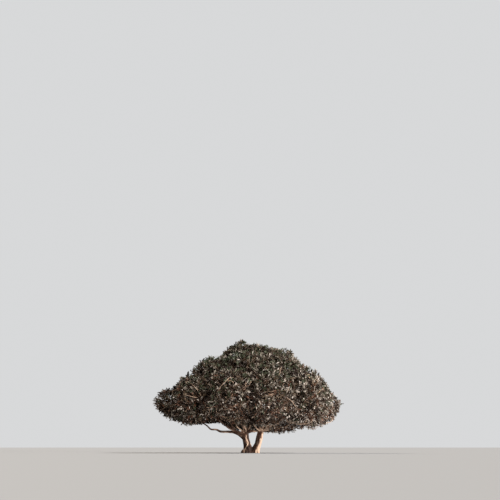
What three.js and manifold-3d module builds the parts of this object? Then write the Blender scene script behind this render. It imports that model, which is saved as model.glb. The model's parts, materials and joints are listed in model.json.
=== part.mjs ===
// A lone acacia tree: two stems that part close above the ground, boughs that fan out from their
// forks, and a broad, dense, domed crown in lobes. Millimetres, +Z up, +X to the right of the front
// view and +Y away from it. The origin is on the flat cut under the trunk, at ground level.
import * as THREE from "three";
import { mergeVertices } from "three/addons/utils/BufferGeometryUtils.js";
import Module from "manifold-3d";

const wasm = await Module();
wasm.setup();

// The crown's general top, and where it swells above that or dips below it: the peak left of the
// middle first, then two swellings and two dips on the right, and two dips on the left. Each one has
// its place, its rise, and how far it spreads across the view and into it.
const CROWN_TOP = 5020;
const SWELLINGS = [
  { x: -380, y: 120, rise: 305, across: 270, deep: 270 },
  { x: 1800, y: 100, rise: 340, across: 320, deep: 800 },
  { x: 2860, y: 0, rise: 360, across: 260, deep: 800 },
  { x: 2350, y: 0, rise: -220, across: 140, deep: 800 },
  { x: 3750, y: 0, rise: -200, across: 300, deep: 800 },
  { x: -1500, y: 0, rise: -250, across: 280, deep: 2500 },
  { x: -3560, y: 0, rise: -280, across: 300, deep: 2500 },
];
const [PEAK] = SWELLINGS;
// On each side of the crown: how far it reaches, how high its rim is, how full its shoulder is (a
// smaller number is fuller), how low its underside lies and how late that sweeps up to the rim
const SIDES = {
  right: { reach: 4120, rim: 1990, fullness: 0.88, underside: 960, sweep: 4.5 },
  back: { reach: 4000, rim: 2080, fullness: 0.76, underside: 1040, sweep: 4.5 },
  left: { reach: 4420, rim: 2450, fullness: 1.3, underside: 1250, sweep: 6 },
  front: { reach: 4000, rim: 2080, fullness: 0.76, underside: 1320, sweep: 4.5 },
};
// The rim is blunt: the crown would run out to a thin edge only this much further out
const RIM_BLUNTNESS = 1.055;
// The underside arches up left of the stems, from front to back, over the low boughs there
const ARCH = { x: -1600, rise: 250, spread: 700 };
// The valleys between the lobes of the crown
const VALLEY = { depth: 150, width: 380 };
// Half the gap that is kept between two neighbouring masses
const SPACE_MARGIN = 14;

// The rings of foliage masses: how many, how far out and how far up the heart of each one lies as a
// share of the crown there, the turn of the first in degrees, how far the masses spread inwards from
// their hearts, and how far from the heart the bough ends
const RINGS = [
  { name: "skirt", count: 10, out: 0.7, up: 0.44, turn: 180, inward: 1150, entry: 1020 },
  { name: "shoulder", count: 6, out: 0.43, up: 0.7, turn: 210, inward: 1000, entry: 900 },
  { name: "top", count: 3, out: 0.14, up: 0.82, turn: 165, inward: 900, entry: 820 },
  { name: "inner", count: 3, out: 0.27, up: 0.17, turn: 270, inward: 1150, entry: 420 },
];
const OUTWARD_SPREAD = 1750;
const HEART_JITTER = 110;
// How finely a mass's reach is measured: the stride outwards, and how often that is then halved
const MEASURE = { stride: 40, halvings: 7 };

// The two stems: axis points from the ground up as [x, y, z], and the radius at each of them
const STEMS = {
  left_stem: {
    axis: [
      [-175, -25, -60], [-155, -25, 230], [-190, -30, 420], [-236, -35, 620], [-272, -40, 880],
    ],
    radii: [205, 195, 170, 162, 158],
  },
  right_stem: {
    axis: [[150, 35, -60], [235, 40, 230], [325, 50, 440], [388, 58, 730], [452, 65, 1030]],
    radii: [190, 168, 157, 152, 142],
  },
};
const STEM_MESH = { sides: 15, steps: 8 };
// The root flare: lobes round the foot of each stem that fade as they rise
const FLARE = { lobes: 5, depth: 0.26, fade: 150 };

// Limbs: what each grows from, how far along that it leaves, and the mass at its end. A limb may
// sag, be more crooked or stouter than the rest, or come into its mass further from under it. Three
// that show below the crown run through the places where they bend.
const LIMBS = {
  high_left: {
    from: "left_stem", leaves: 0.97, to: "skirt_2", under: 0.3,
    through: [
      [-430, -90, 905], [-735, -230, 1000], [-984, -380, 1120], [-1200, -560, 1280],
      [-1400, -800, 1440],
    ],
  },
  low_left: {
    from: "left_stem", leaves: 0.74, to: "skirt_1", under: 0.75, stout: 1.9,
    through: [
      [-360, -40, 700], [-670, -50, 905], [-1020, -45, 970], [-1400, -40, 980],
      [-1600, -40, 1065], [-1850, -50, 1085], [-2030, -50, 1245],
    ],
  },
  rise_left: { from: "left_stem", leaves: 0.97, to: "top_1" },
  cross: {
    from: "left_stem", leaves: 0.93, to: "skirt_8",
    through: [[-150, 20, 930], [10, 80, 985], [220, 200, 1005], [430, 480, 1060], [500, 1100, 1390]],
  },
  rise_right: { from: "right_stem", leaves: 1.0, to: "shoulder_3" },
  low_right: {
    from: "right_stem", leaves: 0.93, to: "skirt_6", under: 0.6, sag: 170, crook: 40, waves: 2,
  },
  lean_left: { from: "right_stem", leaves: 0.98, to: "top_2" },
  low_front: { from: "right_stem", leaves: 0.87, to: "skirt_5", sag: 120 },
  left_back: { from: "high_left", leaves: 0.2, to: "skirt_10", sag: 60 },
  shoulder_front_left: { from: "high_left", leaves: 0.3, to: "shoulder_1" },
  front_left: { from: "rise_left", leaves: 0.14, to: "skirt_3", sag: 90 },
  shoulder_back_left: { from: "rise_left", leaves: 0.36, to: "shoulder_6" },
  shoulder_back: { from: "rise_left", leaves: 0.46, to: "shoulder_5" },
  back_left: { from: "cross", leaves: 0.3, to: "skirt_9", sag: 60 },
  right_back: { from: "low_right", leaves: 0.24, to: "skirt_7", sag: 60 },
  shoulder_back_right: { from: "rise_right", leaves: 0.34, to: "shoulder_4" },
  rise_back: { from: "rise_right", leaves: 0.46, to: "top_3" },
  front_right: { from: "low_front", leaves: 0.2, to: "skirt_4", sag: 60 },
  shoulder_front: { from: "lean_left", leaves: 0.4, to: "shoulder_2" },
  inner_front: { from: "lean_left", leaves: 0.14, to: "inner_1" },
  inner_right: { from: "rise_right", leaves: 0.12, to: "inner_2" },
  inner_left: { from: "cross", leaves: 0.14, to: "inner_3" },
};
// A limb's radius where it enters its mass, and how its foot thickens with the masses it feeds
const LIMB = { tip: 29, foot: 1.5, branching: 2.2, taper: 1.2, crook: 28, waves: 1.5 };
// A limb's mesh: how many sides it has, how long one step along it is, and the fewest steps
const LIMB_MESH = { sides: 6, step: 330, fewest: 4 };
// How a limb bends: how much of its parent's way it keeps as it leaves and how much it has turned
// upwards as it arrives, how long it holds to each as a share of its length, and how much faster it
// waves one way than the other
const BEND = { parent: 0.35, upwards: 0.25, leaving: 0.35, arriving: 0.3, second: 1.3 };
// A bough ends inside its mass's space, at most this share of the way from the heart to the edge
const ENTRY_SHARE = 0.86;

// A mass's own stem carries the bough on, and tapers by a share of its girth
const MASS_STEM = { hold: 0.4, taper: 0.4, steps: 3 };
// A mass's core as a share of its space, its first branches, and its leafy twigs with their leaves
const CORE = { share: 0.76, roughness: 0.07 };
const BRANCHES = { count: 6, share: 0.4 };
const TWIGS = { spread: 12, root: 17, tip: 11, sides: 3, facing: 0, reach: 0.995 };
const LEAVES = { beside: [0.8, 0.95], length: 340, width: 120, thickness: 14, sunk: 8, tilt: 0.75 };
// Touching pieces keep this gap, and a mass's stem a little more from the tip of its bough
const GAP = 0.36;
const STEM_GAP = 0.378;

const GOLDEN_ANGLE = Math.PI * (3 - Math.sqrt(5));
// How far spread directions are moved, in radians round and as a share of the height
const SCATTER = { turn: 0.5, height: 0.2 };
// Where the streams of numbers start, for the hearts, the limbs and the masses
const SEEDS = { hearts: 1, limbs: 40, masses: 100 };
// The share of a path over which its way is taken
const WAY_STEP = 0.01;
const SEED_STEP = 7919;
const SEED_FACTOR = 16807;
const SEED_RANGE = 2147483647;
// Corners nearer to each other than this are one
const MERGE_WITHIN = 0.001;
const UP = new THREE.Vector3(0, 0, 1);
// The middle of the crown, which every mass faces away from
const MIDDLE = new THREE.Vector3(0, 0, CROWN_TOP * 0.45);

const WOOD = new THREE.MeshStandardMaterial({ color: 0x6b594c, roughness: 0.9, metalness: 0 });
const FOLIAGE = new THREE.MeshStandardMaterial({ color: 0x4b4436, roughness: 0.55, metalness: 0 });

const vector = (x, y, z) => new THREE.Vector3(x, y, z);

// A repeatable stream of numbers from 0 to 1.
function seeded(seed) {
  let state = (seed * SEED_STEP + SEED_STEP) % SEED_RANGE;
  const next = () => {
    state = (state * SEED_FACTOR) % SEED_RANGE;
    return state / SEED_RANGE;
  };
  next();
  next();
  return next;
}

// The crown's four sides blended for the direction of a point.
function sideAt(x, y) {
  const across = x > 0 ? SIDES.right : SIDES.left;
  const along = y > 0 ? SIDES.back : SIDES.front;
  const share = (x * x) / Math.max(x * x + y * y, 1);
  const blend = (key) => across[key] * share + along[key] * (1 - share);
  return Object.fromEntries(Object.keys(across).map((key) => [key, blend(key)]));
}

// How far a swelling lifts the crown's top over a point of the ground.
function riseAt({ x: middleX, y: middleY, rise, across, deep }, x, y) {
  return rise * Math.exp(-(((x - middleX) / across) ** 2) - ((y - middleY) / deep) ** 2);
}

// The crown's underside and top over a point of the ground, drawn in by the valleys between lobes.
function crownAt(x, y, valley = 0) {
  const { reach, rim, fullness, underside, sweep } = sideAt(x, y);
  const out = Math.hypot(x, y) / (reach - valley);
  const across = out / RIM_BLUNTNESS;
  const inside = Math.max(1 - across * across, 0);
  const swollen = SWELLINGS.reduce((sum, swelling) => sum + riseAt(swelling, x, y), 0);
  const arch = ARCH.rise * Math.exp(-(((x - ARCH.x) / ARCH.spread) ** 2));
  return {
    out,
    top: rim + (CROWN_TOP - rim) * inside ** fullness + swollen - valley,
    underside: underside + (rim - underside) * across ** sweep + valley / 4 + arch,
    reach,
    rim,
  };
}

// The foliage masses, each with its name and the heart that its growth spreads from.
function makeMasses() {
  const next = seeded(SEEDS.hearts);
  return RINGS.flatMap((ring) =>
    Array.from({ length: ring.count }, (_, i) => {
      const turn = ((ring.turn + (360 * i) / ring.count) * Math.PI) / 180;
      const { reach } = crownAt(Math.cos(turn), Math.sin(turn));
      const x = reach * ring.out * Math.cos(turn) + HEART_JITTER * (next() - 0.5);
      const y = reach * ring.out * Math.sin(turn) + HEART_JITTER * (next() - 0.5);
      const crown = crownAt(x, y);
      const height = crown.underside + ring.up * (crown.top - crown.underside);
      const z = height + HEART_JITTER * (next() - 0.5);
      return { ...ring, name: `${ring.name}_${i + 1}`, heart: vector(x, y, z) };
    }),
  );
}
const masses = makeMasses();

// Whether a point belongs to a mass: it is nearer to its heart than to any other, and in the crown.
function inSpace(mass, point) {
  const own = point.distanceTo(mass.heart);
  let other = Infinity;
  for (const m of masses) if (m !== mass) other = Math.min(other, point.distanceTo(m.heart));
  const slack = other - own;
  if (slack < 2 * SPACE_MARGIN) return false;
  const valley = VALLEY.depth * Math.exp(-((slack / VALLEY.width) ** 2));
  const crown = crownAt(point.x, point.y, valley);
  return crown.out < 1 && point.z < crown.top && point.z > crown.underside;
}

// How far a mass reaches from its heart in a direction.
function reachOf(mass, direction) {
  const facing = 0.5 + 0.5 * direction.dot(mass.heart.clone().sub(MIDDLE).normalize());
  const most = mass.inward + (OUTWARD_SPREAD - mass.inward) * facing;
  const { stride, halvings } = MEASURE;
  let near = 0;
  while (near + stride < most && inSpace(mass, at(mass.heart, direction, near + stride))) {
    near += stride;
  }
  let far = Math.min(near + stride, most);
  for (let i = 0; i < halvings; i++) {
    const middle = (near + far) / 2;
    if (inSpace(mass, at(mass.heart, direction, middle))) near = middle;
    else far = middle;
  }
  return near;
}

const at = (start, direction, distance) => start.clone().addScaledVector(direction, distance);

// Any direction square to the given one, and the third one square to both.
function squareTo(direction) {
  const helper = Math.abs(direction.z) < 0.9 ? UP : vector(1, 0, 0);
  const first = helper.clone().cross(direction).normalize();
  return [first, direction.clone().cross(first)];
}

// A smooth path through points.
function pathThrough(points) {
  const curve = new THREE.CatmullRomCurve3(points);
  return (share) => curve.getPoint(share);
}

// A stem's path through its axis points, with the radius along it.
function stemPath({ axis, radii }) {
  const spans = radii.length - 1;
  const radiusAt = (share) => {
    const i = Math.min(Math.floor(share * spans), spans - 1);
    return THREE.MathUtils.lerp(radii[i], radii[i + 1], share * spans - i);
  };
  return { pointAt: pathThrough(axis.map((p) => vector(...p))), radiusAt };
}

// A limb's path: it leaves its parent between the parent's way and the way to its mass, arrives
// rising, sags in between and is a little crooked by a seeded wave on either side.
function limbPath(start, parentWay, end, options, next) {
  const span = end.clone().sub(start);
  const length = span.length();
  const way = span.clone().normalize();
  const depart = way.clone().lerp(parentWay, BEND.parent).normalize();
  const arrive = way.clone().lerp(UP, BEND.upwards).normalize();
  const leaving = at(start, depart, length * BEND.leaving);
  const arriving = at(end, arrive, -length * BEND.arriving);
  const bend = new THREE.CubicBezierCurve3(start, leaving, arriving, end);
  const sides = squareTo(way);
  const [phaseA, phaseB] = [next(), next()].map((r) => r * 2 * Math.PI);
  const crook = options.crook ?? LIMB.crook;
  const turns = (options.waves ?? LIMB.waves) * 2 * Math.PI;
  const pointAt = (share) => {
    const hold = Math.sin(Math.PI * share);
    return bend
      .getPoint(share)
      .addScaledVector(sides[0], crook * hold * Math.sin(turns * share + phaseA))
      .addScaledVector(sides[1], crook * hold * Math.sin(turns * BEND.second * share + phaseB))
      .addScaledVector(UP, -(options.sag ?? 0) * hold * hold);
  };
  return pointAt;
}

// The way that a path runs at a share of it.
const wayAt = (pointAt, share) => {
  const from = pointAt(Math.min(share, 1 - WAY_STEP));
  return pointAt(Math.min(share + WAY_STEP, 1)).sub(from).normalize();
};

// How many masses a limb feeds, with those of the limbs that grow from it.
function massesFed(name) {
  const children = Object.keys(LIMBS).filter((child) => LIMBS[child].from === name);
  return children.reduce((sum, child) => sum + massesFed(child), 1);
}

// The stems and limbs as paths, parents before children.
function makeSkeleton() {
  const paths = {};
  for (const [name, stem] of Object.entries(STEMS)) paths[name] = stemPath(stem);
  Object.entries(LIMBS).forEach(([name, limb], i) => {
    const parent = paths[limb.from];
    const mass = masses.find((m) => m.name === limb.to);
    const start = parent.pointAt(limb.leaves);
    const straight = start.clone().sub(mass.heart).normalize();
    const inwards = at(straight, UP, -(limb.under ?? 0)).normalize();
    const entry = Math.min(reachOf(mass, inwards) * ENTRY_SHARE, mass.entry);
    const end = at(mass.heart, inwards, entry);
    const stout = limb.stout ?? 1;
    const foot = stout * LIMB.tip * LIMB.foot * massesFed(name) ** (1 / LIMB.branching);
    const radiusAt = (share) => LIMB.tip + (foot - LIMB.tip) * (1 - share) ** LIMB.taper;
    const parentWay = wayAt(parent.pointAt, limb.leaves);
    const places = (limb.through ?? []).map((p) => vector(...p));
    const pointAt = places.length
      ? pathThrough([start, ...places, end])
      : limbPath(start, parentWay, end, limb, seeded(SEEDS.limbs + i));
    const even = Math.max(Math.round(start.distanceTo(end) / LIMB_MESH.step), LIMB_MESH.fewest);
    const steps = places.length ? places.length + 1 : even;
    paths[name] = { pointAt, radiusAt, steps };
    mass.gate = { point: end, way: wayAt(pointAt, 1) };
  });
  return paths;
}
const skeleton = makeSkeleton();

// A closed tube along a path: a cylinder whose rings are carried onto it without twisting. It can
// swell round its foot, and be grown by a gap on its side and at both ends.
function tube({ pointAt, radiusAt }, sides, steps, { swell = () => 1, grown = 0 } = {}) {
  const geometry = new THREE.CylinderGeometry(1, 1, 1, sides, steps);
  const frames = [];
  for (let i = 0; i <= steps; i++) {
    const share = i / steps;
    const way = wayAt(pointAt, share);
    const before = i ? frames[i - 1].side : squareTo(way)[0];
    const side = before.clone().addScaledVector(way, -before.dot(way)).normalize();
    const further = i === 0 ? -grown : i === steps ? grown : 0;
    const centre = at(pointAt(share), way, further);
    frames.push({ centre, radius: radiusAt(share) + grown, side, across: side.clone().cross(way) });
  }
  const position = geometry.getAttribute("position");
  for (let i = 0; i < position.count; i++) {
    const frame = frames[Math.round((position.getY(i) + 0.5) * steps)];
    const [a, b] = [position.getX(i), position.getZ(i)];
    const radius = frame.radius * swell(Math.atan2(b, a), frame.centre.z);
    const place = at(at(frame.centre, frame.side, a * radius), frame.across, b * radius);
    position.setXYZ(i, place.x, place.y, place.z);
  }
  return geometry;
}

// A closed geometry as a solid that can be joined and cut.
function solid(geometry) {
  const bare = new THREE.BufferGeometry().setAttribute("position", geometry.getAttribute("position"));
  if (geometry.index) bare.setIndex(geometry.index);
  const merged = mergeVertices(bare, MERGE_WITHIN);
  const vertProperties = new Float32Array(merged.getAttribute("position").array);
  const made = new wasm.Manifold(
    new wasm.Mesh({ numProp: 3, vertProperties, triVerts: new Uint32Array(merged.index.array) }),
  );
  if (made.volume() > 0) return made;
  throw new Error("a piece is inside out");
}

// The largest body of a solid, without loose scraps or sealed hollows.
function whole(made) {
  return made.decompose().reduce((most, body) => (body.volume() > most.volume() ? body : most));
}

// A solid as a named mesh of the tree.
function meshOf(name, made, material) {
  const { vertProperties, triVerts } = made.getMesh();
  const geometry = new THREE.BufferGeometry()
    .setAttribute("position", new THREE.BufferAttribute(new Float32Array(vertProperties), 3))
    .setIndex(new THREE.BufferAttribute(new Uint32Array(triVerts), 1));
  geometry.computeVertexNormals();
  const mesh = new THREE.Mesh(geometry, material);
  mesh.name = name;
  return mesh;
}

// The two stems as one trunk: lobed at the foot and cut flat at ground level.
function makeTrunk(grown) {
  const fade = (z) => FLARE.depth * Math.exp(-Math.max(z, 0) / FLARE.fade);
  const swell = (angle, z) => 1 + fade(z) * Math.cos(FLARE.lobes * angle);
  const { sides, steps } = STEM_MESH;
  const stems = Object.keys(STEMS).map((name) =>
    solid(tube(skeleton[name], sides, steps, { swell, grown })),
  );
  const below = new THREE.BoxGeometry(CROWN_TOP, CROWN_TOP, CROWN_TOP);
  below.translate(0, 0, -CROWN_TOP / 2);
  return stems[0].add(stems[1]).subtract(solid(below));
}

// Every limb, cut clear of the trunk and of the limbs made before it, with its own grown outline
// that later pieces are cut by.
function makeLimbs() {
  const clearances = { trunk: makeTrunk(GAP) };
  const made = {};
  for (const name of Object.keys(LIMBS)) {
    const before = wasm.Manifold.union(Object.values(clearances));
    const { steps } = skeleton[name];
    made[name] = whole(solid(tube(skeleton[name], LIMB_MESH.sides, steps)).subtract(before));
    clearances[name] = solid(tube(skeleton[name], LIMB_MESH.sides, steps, { grown: GAP }));
  }
  return { made, clearance: wasm.Manifold.union(Object.values(clearances)) };
}

// Directions spread evenly over a sphere, each moved a little by the seeded stream.
function spread(count, next) {
  return Array.from({ length: count }, (_, i) => {
    const z = 1 - (2 * i + 1) / count;
    const angle = GOLDEN_ANGLE * i + next() * SCATTER.turn;
    const flat = Math.sqrt(1 - z * z);
    const height = z + (next() - 0.5) * SCATTER.height;
    return vector(flat * Math.cos(angle), flat * Math.sin(angle), height).normalize();
  });
}

// A mass's lumpy core, a share of its space.
function makeCore(mass, next) {
  const geometry = mergeVertices(
    new THREE.IcosahedronGeometry(1, 1).deleteAttribute("normal").deleteAttribute("uv"),
  );
  const position = geometry.getAttribute("position");
  for (let i = 0; i < position.count; i++) {
    const direction = vector(position.getX(i), position.getY(i), position.getZ(i)).normalize();
    const share = CORE.share * (1 + CORE.roughness * (2 * next() - 1));
    const place = at(mass.heart, direction, share * reachOf(mass, direction));
    position.setXYZ(i, place.x, place.y, place.z);
  }
  return solid(geometry);
}

// The stem of a mass: it carries on from the bough's tip, a gap away, to the heart.
function makeMassStem(mass) {
  const { point, way } = mass.gate;
  const start = at(point, way, STEM_GAP);
  const length = start.distanceTo(mass.heart);
  const { hold, taper, steps } = MASS_STEM;
  const bend = new THREE.QuadraticBezierCurve3(start, at(start, way, length * hold), mass.heart);
  const pointAt = (share) => bend.getPoint(share);
  const radiusAt = (share) => LIMB.tip * (1 - taper * share);
  return solid(tube({ pointAt, radiusAt }, LIMB_MESH.sides, steps));
}

// The furthest tip of the crown that lies towards a mass: on the rim beyond a skirt mass, or else on
// the crown's top, at the peak for the mass that holds it.
function tipOf(mass) {
  const { x, y } = mass.heart;
  if (mass.name.startsWith("skirt")) {
    const { reach, rim } = crownAt(x, y);
    const flat = vector(x, y, 0).normalize();
    return vector(flat.x * reach, flat.y * reach, rim);
  }
  const peak = vector(PEAK.x, PEAK.y, crownAt(PEAK.x, PEAK.y).top);
  const holdsPeak = inSpace(mass, peak.clone().addScaledVector(UP, -1));
  return holdsPeak ? peak : vector(x, y, crownAt(x, y).top);
}

// The ways that a mass's twigs grow: one to the crown's furthest tip there, and the rest spread
// evenly, without those that face back into the crown.
function twigWays(mass, next) {
  const outward = mass.heart.clone().sub(MIDDLE).normalize();
  const facing = spread(TWIGS.spread, next).filter((way) => way.dot(outward) > TWIGS.facing);
  return [tipOf(mass).sub(mass.heart).normalize(), ...facing];
}

// A twig runs from the nearest first branch of its mass towards the edge of the mass's space, and
// stops a leaf short of it.
function twigPath(mass, branches, direction) {
  const nearest = branches.reduce((best, b) => (b.dot(direction) > best.dot(direction) ? b : best));
  const root = at(mass.heart, nearest, BRANCHES.share * reachOf(mass, nearest));
  const tip = at(mass.heart, direction, TWIGS.reach * reachOf(mass, direction));
  const length = root.distanceTo(tip) - LEAVES.length + LEAVES.sunk;
  const way = tip.sub(root).normalize();
  return (share) => at(root, way, share * length);
}

// A leaf: a long flat eight-faced blade, its root sunk in the twig. It leaves the twig at a slant, or
// carries straight on from its tip.
function leafAt(pointAt, share, turn) {
  const way = wayAt(pointAt, 0.5);
  const [side, across] = squareTo(way);
  const out = side.multiplyScalar(Math.cos(turn)).addScaledVector(across, Math.sin(turn));
  const tilt = share < 1 ? LEAVES.tilt : 0;
  const blade = way.clone().multiplyScalar(Math.cos(tilt)).addScaledVector(out, Math.sin(tilt));
  const wide = blade.clone().cross(out.addScaledVector(way, -tilt)).normalize();
  const thick = blade.clone().cross(wide);
  const middle = at(pointAt(share), blade, LEAVES.length / 2 - LEAVES.sunk);
  const axes = new THREE.Matrix4().makeBasis(
    blade.multiplyScalar(LEAVES.length / 2),
    wide.multiplyScalar(LEAVES.width / 2),
    thick.multiplyScalar(LEAVES.thickness / 2),
  );
  return new THREE.OctahedronGeometry(1, 0).applyMatrix4(axes.setPosition(middle));
}

// Whether a twig or leaf has every corner in its mass's space and is clear of the limbs.
function isClear(mass, geometry, clearance) {
  const position = geometry.getAttribute("position");
  for (let i = 0; i < position.count; i++) {
    if (!inSpace(mass, vector(0, 0, 0).fromBufferAttribute(position, i))) return false;
  }
  return solid(geometry).intersect(clearance).volume() === 0;
}

// A mass of foliage: core, stem, twigs and leaves as one body.
function makeMass(mass, number, clearance) {
  const next = seeded(SEEDS.masses + number);
  const parts = [makeCore(mass, next).add(makeMassStem(mass)).subtract(clearance)];
  const branches = spread(BRANCHES.count, next);
  for (const direction of twigWays(mass, next)) {
    const turn = next() * 2 * Math.PI;
    const pointAt = twigPath(mass, branches, direction);
    const radiusAt = (share) => TWIGS.root + (TWIGS.tip - TWIGS.root) * share;
    const twig = tube({ pointAt, radiusAt }, TWIGS.sides, 1);
    if (!isClear(mass, twig, clearance)) continue;
    const places = [...LEAVES.beside, 1];
    const leaves = places.map((share, i) => leafAt(pointAt, share, turn + GOLDEN_ANGLE * i));
    parts.push(solid(twig), ...leaves.filter((leaf) => isClear(mass, leaf, clearance)).map(solid));
  }
  return whole(wasm.Manifold.union(parts));
}

const tree = new THREE.Group();
const limbs = makeLimbs();
tree.add(meshOf("trunk", makeTrunk(0), WOOD));
for (const [name, made] of Object.entries(limbs.made)) tree.add(meshOf(`bough_${name}`, made, WOOD));
masses.forEach((mass, i) => {
  tree.add(meshOf(`foliage_${mass.name}`, makeMass(mass, i, limbs.clearance), FOLIAGE));
});

export default tree;
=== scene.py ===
"""Looks for a lone acacia: furrowed bark on its stems and boughs, and a dense crown of leafy shoots.

The crown, the limbs and the masses of foliage follow the same rules and named sizes as the solids
do, in metres, and each mass is carried on from its bough's tip to finer twigs, shoots and leaves.
"""

import json
import logging
import math
from dataclasses import astuple, dataclass, field
from enum import Enum

import bmesh
import bpy
import numpy as np
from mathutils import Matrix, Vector

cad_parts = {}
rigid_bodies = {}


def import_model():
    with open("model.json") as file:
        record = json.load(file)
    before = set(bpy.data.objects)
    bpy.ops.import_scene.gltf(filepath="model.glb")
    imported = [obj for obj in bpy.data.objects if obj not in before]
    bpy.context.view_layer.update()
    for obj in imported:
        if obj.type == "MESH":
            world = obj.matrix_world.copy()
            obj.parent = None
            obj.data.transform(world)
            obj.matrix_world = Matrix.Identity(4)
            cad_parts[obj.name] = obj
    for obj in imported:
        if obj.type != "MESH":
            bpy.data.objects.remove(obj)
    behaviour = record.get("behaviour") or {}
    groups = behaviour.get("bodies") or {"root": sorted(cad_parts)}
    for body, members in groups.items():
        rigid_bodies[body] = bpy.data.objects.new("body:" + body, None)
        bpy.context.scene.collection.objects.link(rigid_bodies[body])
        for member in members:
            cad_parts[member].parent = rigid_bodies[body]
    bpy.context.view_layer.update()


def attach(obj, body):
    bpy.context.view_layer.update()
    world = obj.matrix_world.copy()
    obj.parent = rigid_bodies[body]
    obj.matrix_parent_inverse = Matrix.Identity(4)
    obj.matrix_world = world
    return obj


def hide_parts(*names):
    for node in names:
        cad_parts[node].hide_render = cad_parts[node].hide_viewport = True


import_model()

BODY = "root"
GOLDEN_ANGLE = math.pi * (3 - math.sqrt(5))
UP = np.array([0.0, 0.0, 1.0])
RIGHT = np.array([1.0, 0.0, 0.0])
STEEP = 0.9
TINY = 1e-12
AT_ONCE = 2000
Array = np.ndarray
Random = np.random.Generator
Mesh = bpy.types.Mesh
Material = bpy.types.Material
Socket = bpy.types.NodeSocket
Colour = tuple[int, int, int]
Pair = tuple[float, float]
log = logging.getLogger("acacia")


def unit(vectors: Array) -> Array:
    """Scales a vector, or rows of them, to length one."""
    return vectors / np.maximum(np.linalg.norm(vectors, axis=-1, keepdims=True), TINY)


def square_to(ways: Array) -> tuple[Array, Array]:
    """Finds two directions square to each given one and to each other."""
    first = unit(np.cross(np.where(np.abs(ways[..., 2:]) < STEEP, UP, RIGHT), ways))
    return first, np.cross(ways, first)


def ramp(values: Array, start: float, width: float) -> Array:
    """Rises from 0 at the start to 1 over the width, and falls where the width is below zero."""
    return np.clip((values - start) / width, 0, 1)


def bell(values: Array, middle: float, width: float) -> Array:
    """Rises smoothly to 1 at the middle, and fades over the width on both sides."""
    return np.exp(-(((values - middle) / width) ** 2))


def bends(start: Array, handle: Array, end: Array, count: int) -> Array:
    """Draws lines of as many points as asked, each pulled towards its handle.

    Args:
        start: Rows of starting points.
        handle: Rows of handles.
        end: Rows of end points.
        count: How many points each line gets.

    Returns:
        For each line, its points.
    """
    t = np.linspace(0, 1, count)[None, :, None]
    start, handle, end = start[:, None], handle[:, None], end[:, None]
    return start * (1 - t) ** 2 + handle * 2 * t * (1 - t) + end * t**2


def wavy(lines: Array, height: float, turns: tuple[float, ...], rng: Random) -> Array:
    """Waves lines to their sides, most in their middles.

    Args:
        lines: For each line, its points.
        height: How high the waves are.
        turns: How many half turns they make, to the first side and to the second.
        rng: The seeded source of where they begin.

    Returns:
        The waved lines.
    """
    t = np.linspace(0, 1, lines.shape[1])[None, :, None]
    sides = square_to(unit(lines[:, -1] - lines[:, 0]))
    begins = rng.uniform(0, 2 * math.pi, (len(turns), len(lines), 1, 1))
    waves = [
        np.sin(turn * math.pi * t + begin) * side[:, None]
        for turn, begin, side in zip(turns, begins, sides)
    ]
    return lines + height * np.sin(math.pi * t) * sum(waves)


def nearest_ball(points: Array, centres: Array, radii: Array) -> tuple[Array, Array]:
    """Finds the ball whose skin is nearest to each point, some points at a time.

    Args:
        points: Rows of points.
        centres: Rows of the balls' centres.
        radii: The balls' radii.

    Returns:
        The number of each point's ball, and how far off its skin is.
    """
    numbers, gaps = [], []
    for start in range(0, len(points), AT_ONCE):
        part = points[start:start + AT_ONCE, None]
        apart = np.linalg.norm(part - centres[None], axis=2) - radii
        numbers.append(apart.argmin(axis=1))
        gaps.append(apart.min(axis=1))
    return np.concatenate(numbers), np.concatenate(gaps)


def linear(red: int, green: int, blue: int) -> tuple[float, ...]:
    """Turns a screen colour of 0 to 255 into a shader's, by the screen's curve, with an alpha of 1."""
    shares = [value / 255 for value in (red, green, blue)]
    return *(s / 12.92 if s <= 0.04045 else ((s + 0.055) / 1.055) ** 2.4 for s in shares), 1.0


def put_in_scene(name: str, data: bpy.types.ID) -> bpy.types.Object:
    """Makes an object and links it to the scene.

    Args:
        name: The object's name.
        data: Its mesh, lamp or camera.

    Returns:
        The object.
    """
    made = bpy.data.objects.new(name, data)
    bpy.context.scene.collection.objects.link(made)
    return made


def add_piece(mesh: Mesh, finishes: list[Material], nodes: list[str]) -> None:
    """Puts a finished piece in the scene, on the tree and in place of its solids.

    Args:
        mesh: The piece's mesh, whose name it takes.
        finishes: Its materials.
        nodes: The solids that it stands for.
    """
    piece = put_in_scene(mesh.name, mesh)
    for finish in finishes:
        mesh.materials.append(finish)
    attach(piece, BODY)
    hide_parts(*nodes)
    log.info("%s: %d faces", piece.name, len(mesh.polygons))


class Stream:
    """A repeatable stream of numbers from 0 to 1, the one that sets out the solids."""

    STEP = 7919
    FACTOR = 16807
    RANGE = 2147483647

    def __init__(self, seed: int) -> None:
        """Starts the stream at a seed, past its first two numbers."""
        self.state = (seed + 1) * self.STEP * self.FACTOR**2 % self.RANGE

    def draw(self) -> float:
        """The next number."""
        self.state = self.state * self.FACTOR % self.RANGE
        return self.state / self.RANGE


@dataclass(frozen=True)
class Side:
    """One side of the crown: its reach, its rim's height, its shoulder, and its underside."""

    reach: float
    rim: float
    fullness: float
    underside: float
    sweep: float

    def values(self) -> Array:
        """The sizes as one column."""
        return np.array(astuple(self))[:, None]


@dataclass(frozen=True)
class Ring:
    """A ring of foliage masses round the trunk, as shares of the crown where each one lies."""

    name: str
    count: int
    out: float
    up: float
    turn: float
    inward: float
    entry: float


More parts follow.
